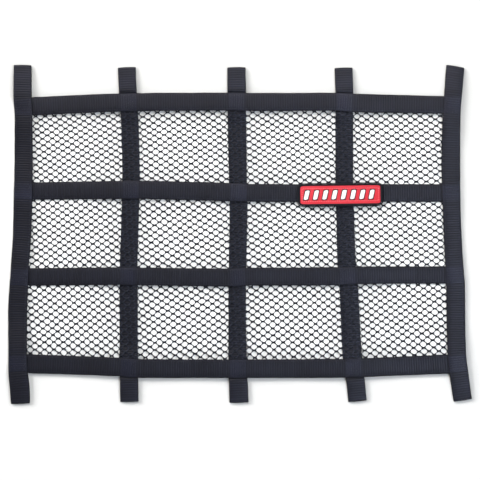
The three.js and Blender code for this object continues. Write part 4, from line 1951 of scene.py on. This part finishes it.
@dataclass
class StrapSeams:
    """Where the straps are sewn: rows along their selvages, and rows to and fro at each crossing."""

    layout: Layout
    straps: Straps
    row_inset: float = 2.8 * MM
    crossing_half: float = 9.0 * MM
    crossing_rows: int = 7
    leg_steps: int = 6
    over: float = 0.02 * MM
    sunk_behind: float = 0.44 * MM
    every: int = 3
    ends_left: int = 24
    least_up: float = 0.9
    least_over: float = 0.3

    def _rows(self, stations: Sequence[Station], above: bool) -> list[Seam]:
        """Two rows of stitches along a band, on its face or sunk into its back.

        Args:
            stations: The band's cross-sections.
            above: True for its face, and False for its back.

        Returns:
            The two rows.
        """
        reach = LAYERS.webbing / 2 + self.over if above else self.sunk_behind - LAYERS.webbing / 2
        seams = []
        for side in (-1, 1):
            points = []
            for station in stations[::self.every]:
                aside = station.across * side * (station.width / 2 - self.row_inset)
                points.append(station.centre + aside + station.up * reach)
            seams.append(Seam(tuple(points), Vector((0, 0, 1 if above else -1))))
        return seams

    def _to_and_fro(self, x: float, y: float, z: float, turn: float, facing: float) -> Seam:
        """Rows sewn to and fro at a crossing, square to the way that they advance.

        Args:
            x: The crossing's place across the net.
            y: The crossing's place up the net.
            z: The seam's height.
            turn: The angle of the way that the rows advance.
            facing: 1 on the face, -1 on the back.

        Returns:
            The seam.
        """
        half = self.crossing_half
        corners = []
        for row in range(self.crossing_rows):
            advance = mix(-half, half, row / (self.crossing_rows - 1))
            swing = half if row % 2 else -half
            corners += [(advance, -swing), (advance, swing)]
        points = []
        for (u0, v0), (u1, v1) in zip(corners, corners[1:]):
            for step in range(self.leg_steps):
                share = step / self.leg_steps
                u, v = turned(mix(u0, u1, share), mix(v0, v1, share), turn)
                points.append(Vector((x + u, y + v, z)))
        return Seam(tuple(points), Vector((0, 0, facing)))

    def _crossing(self, upright: Upright, crossbar: Crossbar, above: bool) -> Seam:
        """The rows at one crossing, along the ribs of the strap that they are sewn on.

        Args:
            upright: The upright.
            crossbar: The crossbar.
            above: True for the net's face, and False for its back.

        Returns:
            The rows, as one seam.
        """
        x, y = self.layout.crossing(upright, crossbar)
        turn = math.pi / 2 - math.atan(upright.lean(y))
        if not above:
            return self._to_and_fro(x, y, self.sunk_behind, turn, -1.0)
        if upright.lies is Lies.IN_FRONT:
            height = self.layout.upright_height(upright, y)
        else:
            height = self.layout.crossbar_height(crossbar, x)
            turn = math.atan(crossbar.lean(x))
        return self._to_and_fro(x, y, height + self.layout.layers.webbing + self.over, turn, 1.0)

    def front(self) -> list[Seam]:
        """Every seam that shows on the net's face.

        Returns:
            The seams.
        """
        seams = []
        for crossbar in self.layout.crossbars:
            stations = self.straps.crossbar_stations(crossbar)
            seams += self._rows(stations[self.ends_left:-self.ends_left], True)
        for upright in self.layout.uprights:
            if upright.lies is Lies.IN_FRONT:
                seams += self._rows(self._between(upright), True)
            seams += [self._crossing(upright, crossbar, True) for crossbar in self.layout.crossbars]
        return seams

    def back(self) -> list[Seam]:
        """Every seam that shows on the net's back.

        Returns:
            The seams.
        """
        seams = []
        for upright in self.layout.uprights:
            behind = upright.lies is Lies.BEHIND
            if behind:
                seams += self._rows(self._between(upright), False)
            seams += [
                self._crossing(upright, crossbar, False)
                for crossbar in self.layout.crossbars if behind or crossbar.outermost
            ]
        return seams

    def _between(self, upright: Upright) -> list[Station]:
        """The stations of an upright's long stretch, between the end crossbars.

        Args:
            upright: The upright.

        Returns:
            Its stations there.
        """
        high = self.layout.crossing(upright, self.layout.crossbars[0])[1]
        low = self.layout.crossing(upright, self.layout.crossbars[-1])[1]
        between = []
        for station in self.straps.upright_stations(upright):
            y = station.centre.y
            over = station.centre.z - self.layout.upright_height(upright, y)
            on_top = over > self.least_over * LAYERS.webbing and station.up.z > self.least_up
            if on_top and low - self.crossing_half < y < high + self.crossing_half:
                between.append(station)
        return between


@dataclass(frozen=True)
class Lamp:
    """A soft light that points at the net, with the level one of its sides first, and its power in watts."""

    name: str
    place: tuple[float, float, float]
    size: tuple[float, float]
    power: float
    colour: tuple[float, float, float]

    def build(self) -> None:
        """Sets the light up, unseen by the camera."""
        lamp = bpy.data.lights.new(self.name, "AREA")
        lamp.shape = "RECTANGLE"
        lamp.size, lamp.size_y = self.size
        lamp.energy = self.power
        lamp.color = self.colour
        light = bpy.data.objects.new(self.name, lamp)
        light.location = self.place
        light.visible_camera = False
        light.rotation_euler = (-Vector(self.place)).to_track_quat("-Z", "Y").to_euler()
        bpy.context.scene.collection.objects.link(light)


LAMPS = (
    Lamp("key", (-6.6, 4.6, 4.1), (5.5, 5.5), 1330.0, (1, 0.995, 0.985)),
    Lamp("fill", (3.4, -6.5, 3.6), (5.0, 5.0), 240.0, (1, 0.995, 0.985)),
    Lamp("right window", (0.78, -0.25, 2.0), (0.7, 0.5), 18.5, (0.77, 0.87, 1.0)),
    Lamp("top window", (0.02, 0.66, 1.0), (1.2, 0.55), 9.8, (1.0, 0.965, 0.88)),
)


@dataclass
class Studio:
    """A pale floor, a key from the upper left, weaker lamps and a room, and the camera straight above."""

    view_width: float = 0.6528
    view_middle: tuple[float, float] = (-0.0002, -0.0075)
    camera_height: float = 3.0
    camera_reach: float = 50.0
    sensor: float = 36.0
    floor_half: float = 6.0
    floor_roughness: float = 0.9
    floor_specular: float = 0.1
    # Painted light and shade: the floor within the net is paler, the floor round it darker.
    floor_painted_pale_within: float = 0.81
    floor_painted_shade_around: float = 0.63
    floor_painted_shade_above: float = 0.565
    within: tuple[float, float, float] = (0.304, 0.188, -0.189)
    fading: float = 0.016
    room_sides: float = 0.42
    room_top: float = 0.1
    room_turn: tuple[float, float] = (0.55, 0.85)
    room_colour: tuple[float, float, float] = (1.0, 0.975, 0.925)

    def _floor_painted_light_and_shade(self, tree: MaterialTree) -> Any:
        """How pale the floor is, as painted light and shade: palest within the net, where the photograph
        shows no shadow at all.

        The palest part ends under the outer straps. Round the net it is a little less pale towards the
        top, where the nearest light makes up for it, so that the soft shadow shows on every side alike.

        Args:
            tree: The floor's material.

        Returns:
            The floor's tone, as a socket.
        """
        # Painted light and shade: the floor within the net is painted paler, so that shadows cast there wash
        # out, and the floor round it darker, so that the cast shadow shows wider.
        right, top, bottom = self.within
        axes = tree.axes(tree.place())
        past_right = tree.math("SUBTRACT", axes["X"], right)
        past_top = tree.math("SUBTRACT", axes["Y"], top)
        past_bottom = tree.math("SUBTRACT", bottom, axes["Y"])
        past = tree.math("MAXIMUM", past_right, tree.math("MAXIMUM", past_top, past_bottom))
        around = tree.span(tree.step(axes["Y"], bottom, top), self.floor_painted_shade_around, self.floor_painted_shade_above)
        return tree.span(tree.step(past, -self.fading, 0.0), self.floor_painted_pale_within, around)

    def _floor(self) -> None:
        """A wide pale floor."""
        half = self.floor_half
        corners = [(-half, -half, 0), (half, -half, 0), (half, half, 0), (-half, half, 0)]
        mesh = new_mesh("floor", corners, [(0, 1, 2, 3)])
        floor = new_piece("floor", mesh)
        material = bpy.data.materials.new("floor")
        material.use_nodes = True
        tree = MaterialTree(material.node_tree)
        tree.fill(tree.tree.nodes["Principled BSDF"], {
            "Base Color": self._floor_painted_light_and_shade(tree),
            "Roughness": self.floor_roughness,
            "Specular IOR Level": self.floor_specular,
        })
        mesh.materials.append(material)

    def _room(self) -> None:
        """The room's even light, stronger from its sides than from above."""
        world = bpy.data.worlds.new("studio")
        world.use_nodes = True
        tree = MaterialTree(world.node_tree)
        height = tree.axes(tree.add("ShaderNodeTexCoord").outputs["Generated"])["Z"]
        tree.fill(tree.tree.nodes["Background"], {
            "Color": (*self.room_colour, 1),
            "Strength": tree.span(tree.step(height, *self.room_turn), self.room_sides, self.room_top),
        })
        bpy.context.scene.world = world

    def _camera(self) -> None:
        """A camera straight above that frames the net as the photograph does."""
        lens = bpy.data.cameras.new("camera")
        lens.sensor_width = self.sensor
        lens.lens = self.sensor * self.camera_height / self.view_width
        lens.clip_end = self.camera_reach
        camera = bpy.data.objects.new("camera", lens)
        camera.location = (*self.view_middle, self.camera_height)
        bpy.context.scene.collection.objects.link(camera)
        bpy.context.scene.camera = camera

    def build(self) -> None:
        """Sets up the floor, the lamps, the room, the camera and a plain view of their colours."""
        self._floor()
        for lamp in LAMPS:
            lamp.build()
        self._room()
        self._camera()
        bpy.context.scene.view_settings.view_transform = "Standard"


def main() -> None:
    """Builds the studio and the net in order, and reports each piece."""
    logging.basicConfig(level=logging.INFO, format="%(name)s: %(message)s")
    Studio().build()
    layout = Layout(UPRIGHTS, CROSSBARS, LAYERS)
    finishes = Finishes(SharedEffects())
    straps, label, sewing = Straps(layout), Label(layout), Sewing()
    seams = StrapSeams(layout, straps)
    running = Stitch.running(length=2.6 * MM, gap=0.7 * MM, thread=0.2 * MM)
    dashes = Stitch.running(length=1.9 * MM, gap=1.1 * MM, thread=0.24 * MM)
    border = Stitch.overlock(
        inward=1.95 * MM, outward=1.85 * MM, depth=1.3 * MM, thread=0.3 * MM, pitch=0.62 * MM,
    )
    sewn_line = label.seam(inset_ends=4.6 * MM, inset_sides=5.6 * MM, rise=LAYERS.label + 0.02 * MM)
    edge = label.seam(inset_ends=-0.5 * MM, inset_sides=0.1 * MM, rise=LAYERS.label + 0.1 * MM)
    pieces = [
        *straps.build(finishes),
        Netting(layout).build(finishes),
        *label.build(finishes),
        sewing.sew("sewing_front", seams.front(), running, finishes.thread, "webbing"),
        sewing.sew("sewing_back", seams.back(), running, finishes.thread, "webbing"),
        sewing.sew("label_sewn_line", [sewn_line], dashes, finishes.label_thread, "label"),
        sewing.sew("label_overlock", [edge], border, finishes.label_edge, "label"),
    ]
    for piece in pieces:
        LOG.info("%s: %d faces", piece.name, len(piece.data.polygons))


if __name__ == "__main__":
    main()
